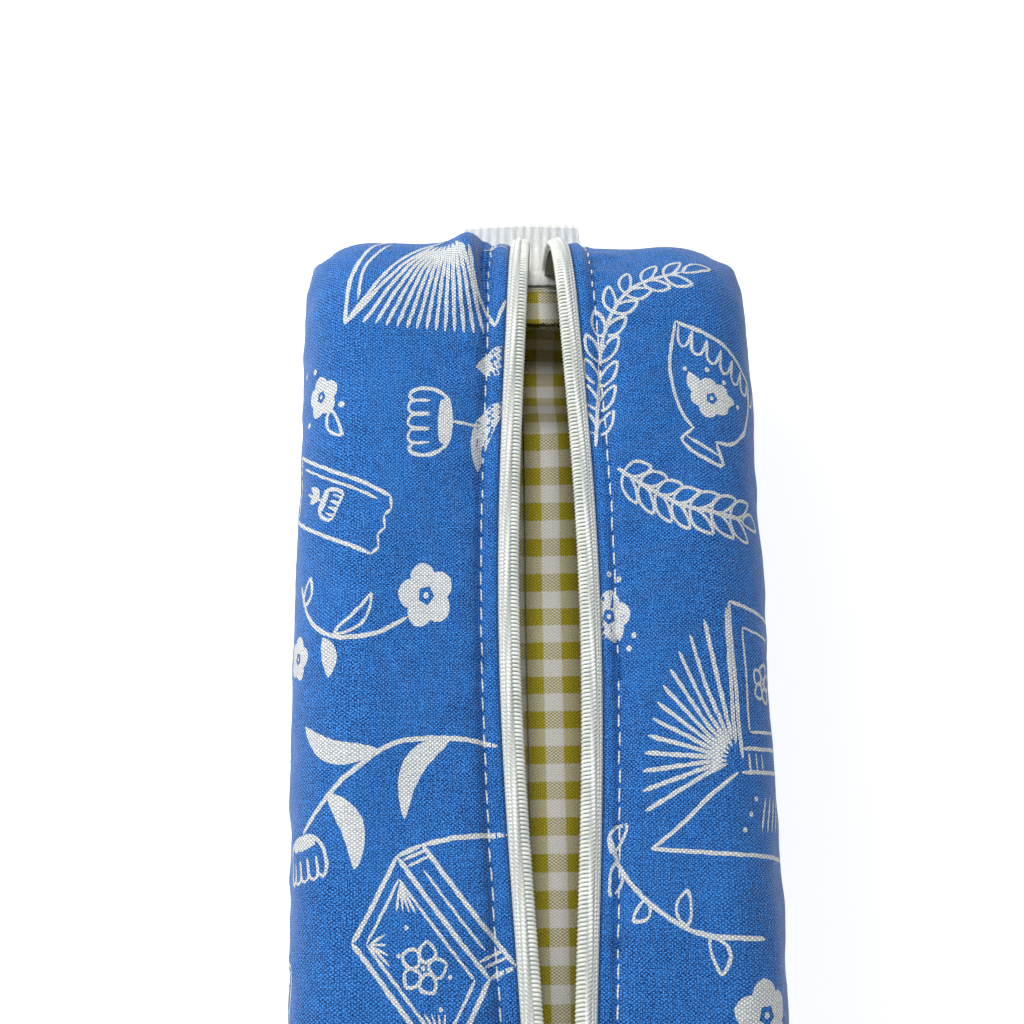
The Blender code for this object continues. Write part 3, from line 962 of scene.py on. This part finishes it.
    def rays(self, apex, first, last, count, inner=0.12, short=1.0, hollow=0.0):
        """Lines spreading from an apex, as the leaves of an open book do.

        Every second one is short times as long, and hollow makes those in the middle shorter.
        """
        apex, first, last = (np.asarray(p, float) for p in (apex, first, last))
        a0, a1 = (math.atan2(*(p - apex)[::-1]) for p in (first, last))
        a1 += 2 * math.pi * round((a0 - a1) / (2 * math.pi))
        r0, r1 = (np.linalg.norm(p - apex) for p in (first, last))
        for k in range(count):
            t = k / (count - 1)
            a, r = a0 + t * (a1 - a0), r0 + t * (r1 - r0)
            r *= (short if k % 2 else 1.0) * (1 - hollow * math.sin(math.pi * t))
            out = np.array([math.cos(a), math.sin(a)])
            near = inner * (1.0 if k % 2 else 0.7)
            self.line(apex + out * r * near, apex + out * r, width=0.66)

    def outline(self, *corners, width=LINE):
        for a, b in zip(corners, corners[1:] + corners[:1]):
            self.line(a, b, width=width)

    def open_book(self, spine, turn, size):
        """An open book: fanned leaves on one side, and covers with a flower on the other."""
        at = placed(spine, turn, size)
        self.rays(at(0, 0), at(-0.01, 1.44), at(-1.0, -0.46), 13, inner=0.14, hollow=0.22)
        self.strokes(at, ((0.06, 0.0), (0.04, 0.8), (0.02, 1.50)))
        self.outline(at(0.02, 1.50), at(0.9, 1.36), at(0.86, 0.12), at(0.06, 0.10))
        self.outline(at(0.18, 1.26), at(0.76, 1.18), at(0.74, 0.28), at(0.18, 0.26), width=0.48)
        self.flower(at(0.47, 0.74), 0.20 * size, turn, filled=False)
        self.strokes(at, ((0.04, -0.12), (0.88, -0.10)))
        bands = [((x, 0.06), (x, -0.10)) for x in (0.14, 0.24, 0.34)]
        self.strokes(at, *bands, width=0.5)
        self.strokes(at, ((0.0, -0.12), (-0.55, -0.55), (-0.94, -0.80)),
                     ((-0.94, -0.80), (0.0, -0.86), (0.88, -0.92)))
        hatching = [((x, -0.34), (x - 0.10, -0.66)) for x in (0.36, 0.46, 0.56, 0.66, 0.76)]
        self.strokes(at, *hatching, width=0.48)
        for x, y in ((0.20, -0.36), (0.12, -0.50), (0.04, -0.64)):
            self.dot(at(x, y))

    def closed_book(self, corner, along, across, thick):
        """A closed book lying askew: its cover with a flower, and the banded spine beside it."""
        corner, along, across, thick = (np.asarray(p, float) for p in (corner, along, across, thick))

        def at(a, b, c=0.0):
            return tuple(corner + a * along + b * across + c * thick)

        self.outline(at(0, 0), at(1, 0), at(1, 1), at(0, 1), width=0.75)
        self.outline(at(0.09, 0.12), at(0.91, 0.12), at(0.91, 0.86), at(0.09, 0.86), width=0.5)
        self.strokes(at, ((0, 1), (0, 1, 1)), ((0, 1, 1), (1, 1, 1)), ((1, 1, 1), (1, 1)), width=0.75)
        bands = [((a, 1.02, 0.05), (a, 1.02, 0.95)) for a in (0.05, 0.10, 0.88, 0.93)]
        self.strokes(at, *bands, width=0.5)
        self.strokes(at, ((0.16, 1, 0.5), (0.82, 1, 0.5)), width=0.45)
        for a, b, away_a, away_b in ((0.11, 0.14, 1, 1), (0.11, 0.84, 1, -1), (0.89, 0.14, -1, 1)):
            for share in (0.35, 0.57, 0.79, 1.01):
                end = (a + 0.20 * away_a * share, b + 0.26 * away_b * (1.2 - share))
                self.strokes(at, ((a, b), end), width=0.42)
        size = 0.27 * min(np.linalg.norm(along), np.linalg.norm(across))
        self.flower(at(0.54, 0.48), size, 0.5, filled=False)
        for a, b in ((0.30, 0.60), (0.34, 0.34), (0.74, 0.66), (0.78, 0.36)):
            self.dot(at(a, b), 0.36)

    def bowl(self, left, right, foot):
        """A bowl with a scalloped rim and a flower on its side; left and right are the rim's ends."""
        left, right, foot = (np.asarray(p, float) for p in (left, right, foot))
        across, middle = right - left, 0.5 * (left + right)
        down = foot - middle

        def at(a, d):
            return tuple(middle + a * 0.5 * across + d * down)

        self.strokes(at, ((-1, 0), (0, -0.06), (1, 0)))
        for side in (-1, 1):
            self.strokes(at, ((side, 0), (side * 0.96, 0.45), (side * 0.62, 0.76), (side * 0.22, 0.88)))
        scallop = ((0, 0.0), (0.05, 0.15), (0.15, 0.19), (0.25, 0.15), (0.30, 0.0))
        for k in range(7):
            self.strokes(at, [(-0.92 + 0.306 * k + x, d) for x, d in scallop], width=0.5)
        self.strokes(at, ((-0.24, 0.88), (-0.42, 1.06), (0.42, 1.06), (0.24, 0.88)))
        self.strokes(at, ((-0.34, 0.98), (0.34, 0.98)), width=0.5)
        size = float(np.linalg.norm(down))
        self.flower(at(0.0, 0.50), 0.20 * size, 0.6)
        for a, d in ((-0.42, 0.46), (0.42, 0.46)):
            self.leaf(at(0.35 * a, 0.5), at(a * 1.25, d - 0.08), 0.13 * size, True)
        for a, d in ((-0.62, 0.38), (0.62, 0.38), (-0.2, 0.27), (0.2, 0.27)):
            self.dot(at(a, d))

    def banner(self, a, b, c, d):
        """A strip of paper with torn ends and a small tulip; a to b is one long edge, d to c the other."""
        a, b, c, d = (np.asarray(p, float) for p in (a, b, c, d))
        self.line(a, b)
        self.line(d, c)
        for p, q in ((a, d), (b, c)):
            teeth = [p + (q - p) * t + (b - a) * (0.045 if k % 2 else 0.0)
                     for k, t in enumerate(np.linspace(0, 1, 7))]
            for one, two in zip(teeth, teeth[1:]):
                self.line(one, two)
        hem = (d - a) * 0.14
        self.line(a * 0.88 + b * 0.12 + hem, a * 0.12 + b * 0.88 + hem, width=0.45)
        middle = 0.25 * (a + b + c + d)
        along = (b - a) / np.linalg.norm(b - a)
        self.tulip(middle - 1.5 * along, math.atan2(along[1], along[0]), 3.6)
        self.line(middle - 1.5 * along, middle - 5.5 * along)
        for aside in (0.12 * (d - a), -0.12 * (d - a)):
            self.leaf(middle - 2.2 * along, middle - 4.6 * along + aside, 1.3)


def print_left(ink):
    """The left panel by the mouth: an open book, flowers, a banner, a sprig and a closed book."""
    ink.rays((10.6, 99.5), (27.8, 79.5), (4.0, 77.4), 14, inner=0.26, hollow=0.10)
    ink.line((28.4, 79.0), (27.6, 88.0), (24.5, 97.0), (20.0, 103.0))
    ink.line((26.5, 83.0), (25.6, 90.0), (21.5, 97.5), width=0.5)
    ink.line((28.4, 79.0), (20.0, 90.5), (12.0, 98.5))
    ink.line((7.6, 93.0), (5.6, 85.0), (2.0, 78.8))
    ink.line((2.0, 78.8), (0.3, 83.5))
    ink.line((4.0, 97.0), (1.5, 97.6), (-0.5, 97.0), width=0.5)
    ink.line((4.0, 99.6), (1.5, 100.2), (-0.5, 99.6), width=0.5)
    ink.flower((32.9, 67.6), 3.6, 0.2)
    ink.leaf((31.0, 65.0), (28.9, 60.4), 2.1, filled=False)
    for spot in ((39.3, 73.2), (36.7, 63.8), (28.9, 65.5), (34.6, 72.4)):
        ink.dot(spot, 0.55)
    ink.tulip((9.2, 62.0), 0.0, 8.0)
    ink.line((9.2, 62.0), (4.6, 61.8), (0.4, 63.0), width=0.5)
    ink.leaf((-1.6, 75.2), (5.2, 71.6), 4.6, bend=-0.1)
    ink.leaf((-0.6, 66.0), (4.3, 54.2), 3.6, bend=0.14)
    ink.banner((39.6, 59.2), (20.4, 49.8), (24.0, 40.6), (41.0, 48.6))
    ink.flower((13.6, 34.0), 5.3, 0.1)
    ink.line((17.0, 30.6), (22.8, 28.3), (29.5, 28.0), (35.0, 31.6), (37.4, 37.0), width=0.7)
    ink.leaf((29.6, 28.4), (23.8, 34.4), 2.0, filled=False)
    ink.leaf((31.6, 28.0), (30.6, 21.8), 2.6, bend=-0.1)
    ink.leaf((36.4, 33.6), (34.6, 38.0), 2.0, filled=False)
    ink.flower((38.6, 25.6), 3.6, 0.6)
    ink.line((1.0, 10.9), (8.5, 12.0), (19.0, 11.6), (27.0, 7.2), (35.5, -1.4), width=0.75)
    for base, end, width, bend in (((22.6, 10.6), (35.8, 14.8), 3.4, -0.16),
                                   ((9.6, 11.8), (17.8, 0.4), 3.7, 0.22),
                                   ((30.6, 4.4), (26.2, -6.8), 3.4, -0.16)):
        ink.leaf(base, end, width, bend=bend)
    ink.tulip((35.8, -1.8), -1.75, 6.6)
    ink.closed_book((26.4, -17.2), (-14.6, -17.4), (-7.2, 12.2), (-4.4, 1.6))
    ink.line((14.8, -3.4), (8.0, -2.4), (0.2, -2.2), width=0.75)


def print_right(ink):
    """The right panel by the mouth: two laurels, a bowl, flowers and an open book."""
    ink.laurel([(1.0, 58.0), (2.6, 68.0), (4.6, 77.6), (10.5, 85.2), (20.0, 88.2)], 9)
    ink.bowl((17.8, 78.8), (33.2, 70.2), (21.4, 57.4))
    ink.laurel([(4.8, 54.0), (12.0, 50.0), (19.0, 47.4), (28.5, 46.2)], 7, 5.6, 2.4)
    ink.flower((1.6, 30.5), 4.3, 0.15)
    for spot in ((2.0, 37.2), (4.0, 36.4), (6.4, 27.4), (5.4, 25.4)):
        ink.dot(spot, 0.5)
    ink.open_book((24.0, 8.4), 0.0, 16.2)
    ink.line((1.4, -2.4), (3.6, -7.4), (8.5, -12.3), (16.5, -16.5), (27.0, -17.6), width=0.7)
    for base, end, width in (((1.8, -5.0), (4.6, -1.0), 2.4), ((2.6, -6.4), (1.8, -11.2), 2.4),
                             ((8.2, -11.8), (5.6, -14.8), 2.2), ((14.6, -15.6), (15.0, -10.4), 2.6),
                             ((18.6, -17.0), (20.2, -22.4), 2.6)):
        ink.leaf(base, end, width, filled=False)
    ink.flower((26.6, -28.2), 5.2, 0.4)
    ink.leaf((21.4, -29.4), (16.0, -33.6), 3.2)


def one_motif(ink, kind, u, v, turn):
    """One of the print's motifs at (u, v), for the cloth away from the mouth."""
    at = placed((u, v), turn)
    if kind == 0:
        ink.flower(at(0, 0), 4.6, turn)
        ink.line(at(4.4, 0), at(9.0, 1.6), at(12.6, 5.6), width=0.7)
        ink.leaf(at(8.0, 1.2), at(7.4, 7.0), 2.6)
    elif kind == 1:
        ink.laurel([at(-7, -3), at(0, 0), at(7, 0)], 6)
    elif kind == 2:
        ink.tulip(at(0, 0), turn, 7.4)
        ink.line(at(0, 0), at(-5, 0.8), at(-9, 3.0), width=0.7)
        ink.leaf(at(-4, 0.6), at(-8.6, -4.4), 2.8)
    elif kind == 3:
        ink.sprig([at(-9, -2), at(-2, 1.0), at(4, 0.4), at(9, -3)], 4)
    elif kind == 4:
        ink.bowl(at(-7.4, 6.5), at(7.4, 6.5), at(0, -7.0))
    elif kind == 5:
        ink.open_book(at(0, -1.5), turn, 9.5)
    else:
        turned = placed((0.0, 0.0), turn)
        ink.closed_book(at(-6, -5), turned(9, 0), turned(0, 11), turned(3, 0))


TOSS_U, TOSS_V = 20.5, 21.0         # from one motif to the next, across and along
MOUTH_PRINT_U, MOUTH_PRINT_V = 47.0, -40.0      # the drawn part of the print ends here


def toss(ink, seed):
    """Fills the rest of the panel with motifs in a loose half-drop, each turned its own way."""
    rng = np.random.default_rng(seed)
    rows = np.arange(-END_V + 12, END_V - 8, TOSS_V)
    columns = np.arange(11.0, ink.panel.total, TOSS_U)
    for i, u in enumerate(columns):
        for j, v in enumerate(rows):
            v = v + (TOSS_V / 2 if i % 2 else 0.0) + rng.uniform(-1.5, 1.5)
            here = u + rng.uniform(-1.5, 1.5)
            turn = rng.uniform(0, 2 * math.pi)
            by_mouth = here < MOUTH_PRINT_U and v > MOUTH_PRINT_V
            on_tip = abs(v) > END_V - 9.0
            if by_mouth or on_tip or here > ink.panel.total - 8.0:
                continue
            one_motif(ink, (3 * i + 5 * j) % 7, here, v, turn)
            ink.dot((here + 9.5, v + 9.0))
            ink.dot((here + 8.6, v + 11.0))


def printing(name, panel):
    """The white print of one side."""
    ink = Print(panel, PRINT_SEED + panel.side)
    draw = print_left if name == "left" else print_right
    draw(ink)
    toss(ink, TOSS_SEED + panel.side)
    obj, weights = ink.build.make("print_" + name, INK)
    follow(obj)


# ------------------------------------------------------------------ padding and lining

FLEECE_INSET, FLEECE_START = 2.3, 10.6
FLEECE_FROM_FOLD = 7.2      # its start, as seen from the cotton's folded edge


def padding(name, side):
    """The fleece behind the cotton."""
    layer = Cloth(side, FLEECE_INSET, FLEECE_START, FLEECE_STEPS)
    u, v = np.meshgrid(layer.u, layer.v)
    lumps = 0.12 * Waves(FLEECE_SEED + side, 9.0)(u, v) * off_ends(v, 12.0)
    at_ends = into_ends(v, 2.0, 10.0) * smoothstep((40.0 - u) / 20.0)
    layer.push(lumps - 0.2 * at_ends + corner_seams(layer))
    shares = panel_weight(u + FLEECE_FROM_FOLD, v)
    obj, weights = layer.mesh((u, v), shares).make("fleece_" + name, FLEECE)
    thicken(obj, FLEECE_THICK)
    follow(obj)
    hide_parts("padding_" + name)


LINING_INSET, LINING_START = 3.4, 5.0
LINING_RISE = 7.0           # the lining lies loose, and stands off the bottom in the middle
LINING_END_RISE = 8.0       # and that much more towards the ends


def lining(name, side):
    """The gingham lining of one side. The two sides' checks run on from one to the other."""
    layer = Cloth(side, LINING_INSET, LINING_START, LINING_STEPS)
    u, v = np.meshgrid(layer.u, layer.v)
    loose = 0.5 * np.abs(Waves(LINING_SEED + side, 26.0, stretch=(1.0, 1.6))(u, v))
    fine = 0.12 * Waves(LINING_SEED + 4 + side, 9.0)(u, v)
    joined = smoothstep((layer.total - u) / 8.0) * smoothstep(u / 3.0)
    layer.push(-(loose + fine) * off_ends(v, 14.0) * joined)
    in_middle = smoothstep((u - layer.marks[3]) / (layer.marks[4] - layer.marks[3] + 6.0))
    rise = LINING_RISE + LINING_END_RISE * smoothstep((np.abs(v) - 35.0) / 40.0)
    layer.grid[..., 2] += rise * in_middle * smoothstep((STRAIGHT + 6.0 - np.abs(v)) / 16.0)
    step_u = np.linalg.norm(np.diff(layer.grid, axis=1), axis=2)[:-1]
    step_v = np.linalg.norm(np.diff(layer.grid, axis=0), axis=2)[:, :-1]
    from_seam = side * (layer.total - u)
    weights = lip_weight(v) * give_way(u + LINING_START - FOLD_EDGE, 3.0, 20.0)
    obj, shares = layer.mesh((from_seam, v), weights).make("gingham_" + name, GINGHAM)
    thicken(obj, LINING_THICK)
    follow(obj)
    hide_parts("lining_" + name)


# ------------------------------------------------------------------ end seams and ribbon tab

SEAM_REACH = 9.5
SEAM_WIDTH = 60.0
SEAM_Z = MID_Z - 1.0
SEAM_LAYERS = ((0.20, "gingham"), (-0.35, "cotton"), (-0.85, "cotton_low"), (-1.40, "gingham_low"))


def allowance(build, end, level, reach, width, phase):
    """One raw-edged layer of a seam allowance, turned in at half height."""
    x, d = np.meshgrid(np.linspace(-width / 2, width / 2, 61), np.linspace(0.0, reach, 12))
    out = d / reach
    wave = 0.22 * np.sin(x / 6.5 + phase) * out ** 1.5 + 0.10 * np.sin(x / 2.1 + 2 * phase) * out
    ragged = 0.18 * np.sin(x * 2.7 + phase) * (d == reach)
    y = end * (LENGTH / 2 - 0.4 - d - ragged)
    points = np.stack([x, y, level + wave], axis=-1)
    build.add(points, grid_faces(*x.shape, flip=end > 0), np.stack([x, y], axis=-1))


def end_seam(name, end):
    """The allowances of the lining, above and below those of the cotton."""
    for k, (level, kind) in enumerate(SEAM_LAYERS):
        mat = GINGHAM if kind.startswith("gingham") else COTTON
        build = Build()
        reach, width = SEAM_REACH - 0.35 * (k % 3), SEAM_WIDTH - 1.5 * k
        allowance(build, end, SEAM_Z + level, reach, width, 1.3 * k + end)
        obj, _ = build.make("seam_%s_%s" % (name, kind), mat)
        thicken(obj, LINING_THICK)
        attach(obj, "case")
    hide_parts("end_seam_" + name)
    stitches = Build()
    for x in np.arange(-SEAM_WIDTH / 2 + 2, SEAM_WIDTH / 2 - 2, STITCH_PITCH):
        t = np.linspace(0, 1, 6)
        height = SEAM_Z + 0.30 + 0.24 * np.sin(np.pi * t)
        path = np.stack([x + 2.3 * t, np.full(6, end * (LENGTH / 2 - 2.2)), height], axis=1)
        stitches.add(*tube(path, SEAM_STITCH_RADIUS))
    obj, _ = stitches.make("seam_%s_stitches" % name, THREAD)
    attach(obj, "case")


RIB_PITCH, RIB_HEIGHT = 1.6, 0.10
TAB_PROUD = 1.4             # the soft loop stands a little past its CAD solid, and bends up
TAB_RISE = 4.4


def ribbon_tab():
    """A folded ribbed ribbon: both ends are caught in the far seam, and its raw tail lies inside."""
    low, high = MID_Z - 0.25, MID_Z + 0.70
    face = LENGTH / 2
    out = TAB_END - face - 0.7 + TAB_PROUD
    turn = np.linspace(-math.pi / 2, math.pi / 2, 13)
    middle, radius = 0.5 * (low + high), 0.5 * (high - low) + 0.28
    lower = [(-2.3, low), (-1.4, low + 0.05), (0.0, low + 0.15), (2.0, low - 0.12)]
    loop = [(out - 0.4 + radius * math.cos(a), middle + radius * math.sin(a)) for a in turn]
    upper = [(2.0, high + 0.12), (0.0, high - 0.2), (-1.6, high - 0.15), (-2.8, high + 0.1)]
    path = smooth_path(lower + loop + upper, 0.35)
    path[:, 1] += TAB_RISE * np.clip(path[:, 0] / out, 0, None) ** 1.3
    tangent = np.gradient(path, axis=0)
    tangent /= np.linalg.norm(tangent, axis=1, keepdims=True)
    normal = np.stack([tangent[:, 1], -tangent[:, 0]], axis=1)
    across = np.arange(-TAB_WIDTH / 2, TAB_WIDTH / 2 + 0.01, 0.2)
    reach = np.clip(path[:, 0] / out, 0, 1)[:, None]
    ribs = RIB_HEIGHT * (1 + np.cos(2 * np.pi * across / RIB_PITCH)) * (1 - 0.8 * reach ** 8)
    x = across * (1 - 0.07 * reach ** 4 * np.abs(2 * across / TAB_WIDTH) ** 6)
    sag = (0.9 * np.cos(np.pi * x / TAB_WIDTH) - 0.5) * reach
    y = face + path[:, 0][:, None] + normal[:, :1] * ribs
    z = path[:, 1][:, None] + normal[:, 1:] * ribs + sag
    along = np.cumsum(np.concatenate([[0], np.linalg.norm(np.diff(path, axis=0), axis=1)]))
    cloth = np.stack(np.broadcast_arrays(x, along[:, None]), axis=-1)
    build = Build()
    build.add(np.stack([x, y, z], axis=-1), grid_faces(len(path), len(across), flip=True), cloth)
    obj, _ = build.make("ribbon_loop", RIBBON)
    thicken(obj, RIBBON_THICK)
    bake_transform(obj)
    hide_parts("ribbon_tab")


# ------------------------------------------------------------------ zip

TAPE_REACH = (0.55, 1.2, 2.0, 2.7, 3.1, 3.5, 4.1, 5.0, 6.5, 8.0, 9.6)
TAPE_HEIGHT = (-0.55, -0.50, -0.45, -0.42, -0.35, -0.42, -0.75, -1.0, -1.2, -1.25, -1.3)


def zip_range(margin=1.0):
    return -END_V + margin, END_V - margin


def tape_dip(reach):
    """How much the tape sinks at the ends, where the cotton's panels meet."""
    return -1.5 if reach > 4.5 else -0.4 if reach > 4.0 else 0.0


def tape(name, side):
    """Woven tape: its cord edge is under the teeth, and the rest goes in under the cotton."""
    v = np.linspace(*zip_range(0.2), 300)
    at_ends = into_ends(v, 2.0, 10.0)
    grid = np.stack([zip_point(side, v, r, h + tape_dip(r) * at_ends)
                     for r, h in zip(TAPE_REACH, TAPE_HEIGHT)], axis=1)
    u, along = np.meshgrid(TAPE_REACH, v)
    faces = grid_faces(*u.shape, flip=side < 0)
    build = Build()
    build.add(grid, faces, np.stack([u, along], axis=-1), lip_weight(along).ravel())
    obj, weights = build.make("tape_" + name, TAPE)
    thicken(obj, TAPE_THICK)
    follow(obj)
    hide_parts("zipper_tape_" + name)


# The coil's turns: reach from the tips, level, lean, the filament and its swollen heads
TURN_SAMPLES = 12
TURN_REACH, TURN_HALF = 1.10, 0.80
TURN_LEVEL, TURN_RISE, TURN_LEAN = 0.28, 0.50, 0.10
FILAMENT, HEAD_SWELL, CORD = 0.265, 0.035, 0.30
STITCH_RADIUS, SEAM_STITCH_RADIUS = 0.15, 0.17
STITCH_SUNK, STITCH_RISE = 0.26, 0.38
SLIDER_EDGE = 0.16          # radius of the slider's softened edges


def coil_path(side):
    """The filament's turns: round at the teeth's heads, flat above and below."""
    start, end = zip_range()
    shift = 0.0 if side < 0 else 0.5 * COIL_PITCH
    turns = int((end - start) / COIL_PITCH) - 1
    a = np.linspace(0, 2 * np.pi * turns, turns * TURN_SAMPLES + 1)
    v = start + shift + COIL_PITCH * a / (2 * np.pi)
    flat = np.sign(np.cos(a)) * np.abs(np.cos(a)) ** 0.75
    swing = np.sin(a)
    return a, v + TURN_LEAN * swing, TURN_REACH - TURN_HALF * flat, TURN_LEVEL + TURN_RISE * swing


def add_strand(build, path, v, radius, twisted=True):
    """A filament or thread along path, whose points lie at v along the zip."""
    points, faces = tube(path, radius)
    along = np.repeat(np.stack([0 * v, v], axis=1), TUBE_SIDES, axis=0) if twisted else None
    build.add(points, faces, along, np.repeat(lip_weight(v), TUBE_SIDES))


# Each sewing thread on a coil: reach from the tips, sway, phase, half thickness, height and pitch
THREAD_LANES = (
    (1.94, 0.32, 0.0, 0.31, 0.86, CHAIN_PITCH),
    (1.94, 0.32, math.pi, 0.31, 0.86, CHAIN_PITCH),
    (2.58, 0.16, 0.5, 0.22, 0.62, CHAIN_PITCH),
    (2.58, 0.16, 0.5 + math.pi, 0.22, 0.62, CHAIN_PITCH),
    (2.98, 0.12, 0.0, 0.17, 0.42, COIL_PITCH),
    (2.98, 0.12, math.pi, 0.17, 0.42, COIL_PITCH),
)


def coil(name, side):
    """The nylon coil, the cord in it, and the threads that sew it to the tape."""
    a, v, reach, height = coil_path(side)
    head = np.clip(np.cos(a), 0, 1) ** 6
    build = Build()
    add_strand(build, zip_point(side, v, reach, height), v, FILAMENT + HEAD_SWELL * head, twisted=False)
    obj, weights = build.make("coil_" + name, NYLON)
    follow(obj)
    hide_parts("zipper_coil_" + name)

    start, end = zip_range()
    threads = Build()
    for out, sway, phase, thick, level, pitch in THREAD_LANES:
        v = np.arange(start, end, pitch / 8)
        turn = 2 * np.pi * v / pitch + phase
        reach = out + sway * np.sin(turn)
        height = level + 0.14 * np.cos(turn)
        swell = thick * (0.84 + 0.26 * np.cos(turn))
        add_strand(threads, zip_point(side, v, reach, height), v, swell)
    v = np.arange(start, end, 0.8)
    add_strand(threads, zip_point(side, v, 1.3, TURN_LEVEL), v, CORD, twisted=False)
    obj, weights = threads.make("coil_threads_" + name, THREAD)
    follow(obj)


def topstitch(name, side, panel):
    """One stitch after another beside the folded edge, each sunk at both its ends."""
    build = Build()
    start, end = zip_range(3.0)
    rng = np.random.default_rng(STITCH_SEED + side)
    for first in np.arange(start, end - STITCH_PITCH, STITCH_PITCH):
        t = np.linspace(0, 1, 8)
        v = first + 0.25 + (STITCH_PITCH - 0.5) * t
        u = STITCH_U + 0.06 * rng.standard_normal() + 0.10 * (t - 0.5)
        lift = STITCH_RISE * np.sin(np.pi * t) ** 0.6 - STITCH_SUNK
        add_strand(build, panel.drape(u, v, lift[:, None]), v, STITCH_RADIUS)
    obj, weights = build.make("stitches_" + name, THREAD)
    follow(obj)
    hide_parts("topstitch_" + name)


def refine_slider():
    """The slider and its pull keep their shapes, with softened edges and enamel."""
    for node in ("slider_body", "slider_pull"):
        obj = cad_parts[node]
        edge = obj.modifiers.new("soft edges", "BEVEL")
        edge.width = SLIDER_EDGE * MM
        edge.segments = 3
        edge.limit_method = "ANGLE"
        edge.angle_limit = math.radians(35)
        obj.data.materials.clear()
        obj.data.materials.append(ENAMEL)


# ------------------------------------------------------------------ camera, lights and floor

CAMERA_AT = (-6.148, -11.698, 271.498)          # in millimetres, in the frame
CAMERA_TURN = (14.835, -3.239, 2.38)            # pitch, yaw and roll in degrees
CAMERA_FOCAL = 1400.0 / 1024                    # in image widths


SENSOR = 36.0
SUN = dict(direction=(0.04, -0.06, -1.0), strength=1.66, angle=9)
WINDOW = dict(place=(-0.26, 0.22, 0.34), size=0.26, power=1.7)
LIT_POINT = Vector((0, 0, 0.03))                # what the window light faces
SKY, SKY_STRENGTH = (0.96, 0.98, 1.0, 1), 0.28
FLOOR_RADIUS = 9.0


def aim(obj, direction):
    obj.rotation_euler = Vector(direction).to_track_quat("-Z", "Y").to_euler()


def camera():
    data = bpy.data.cameras.new("camera")
    data.sensor_width = SENSOR
    data.lens = CAMERA_FOCAL * SENSOR
    data.clip_start = 0.005
    obj = add_object("camera", data)
    pitch, yaw, roll = (math.radians(a) for a in CAMERA_TURN)
    turn = Matrix.Rotation(yaw, 4, "Z") @ Matrix.Rotation(pitch, 4, "X") @ Matrix.Rotation(roll, 4, "Z")
    obj.matrix_world = Matrix.Translation(Vector(CAMERA_AT) * MM) @ turn
    bpy.context.scene.camera = obj


def area_light(name, place, size, power):
    data = bpy.data.lights.new(name, "AREA")
    data.size = size
    data.energy = power
    obj = add_object(name, data)
    obj.location = place
    aim(obj, LIT_POINT - Vector(place))


def sun_light(name, direction, strength, angle):
    data = bpy.data.lights.new(name, "SUN")
    data.energy = strength
    data.angle = math.radians(angle)
    aim(add_object(name, data), direction)


def stage():
    bpy.ops.mesh.primitive_circle_add(vertices=96, radius=FLOOR_RADIUS, fill_type="NGON")
    floor = bpy.context.object
    floor.name = "floor"
    floor.data.materials.append(floor_paint("floor"))
    world = bpy.data.worlds.new("studio")
    world.use_nodes = True
    sky = world.node_tree.nodes["Background"]
    sky.inputs["Color"].default_value = SKY
    sky.inputs["Strength"].default_value = SKY_STRENGTH
    bpy.context.scene.world = world
    sun_light("overhead", **SUN)
    area_light("window", **WINDOW)
    bpy.context.scene.view_settings.view_transform = "Standard"


# ------------------------------------------------------------------ the whole case

camera()
stage()
for side_name, side_sign in SIDES.items():
    cotton = outer_panel(side_name, side_sign)
    printing(side_name, cotton)
    padding(side_name, side_sign)
    lining(side_name, side_sign)
    tape(side_name, side_sign)
    coil(side_name, side_sign)
    topstitch(side_name, side_sign, cotton)
end_seam("far", 1)
end_seam("near", -1)
ribbon_tab()
refine_slider()
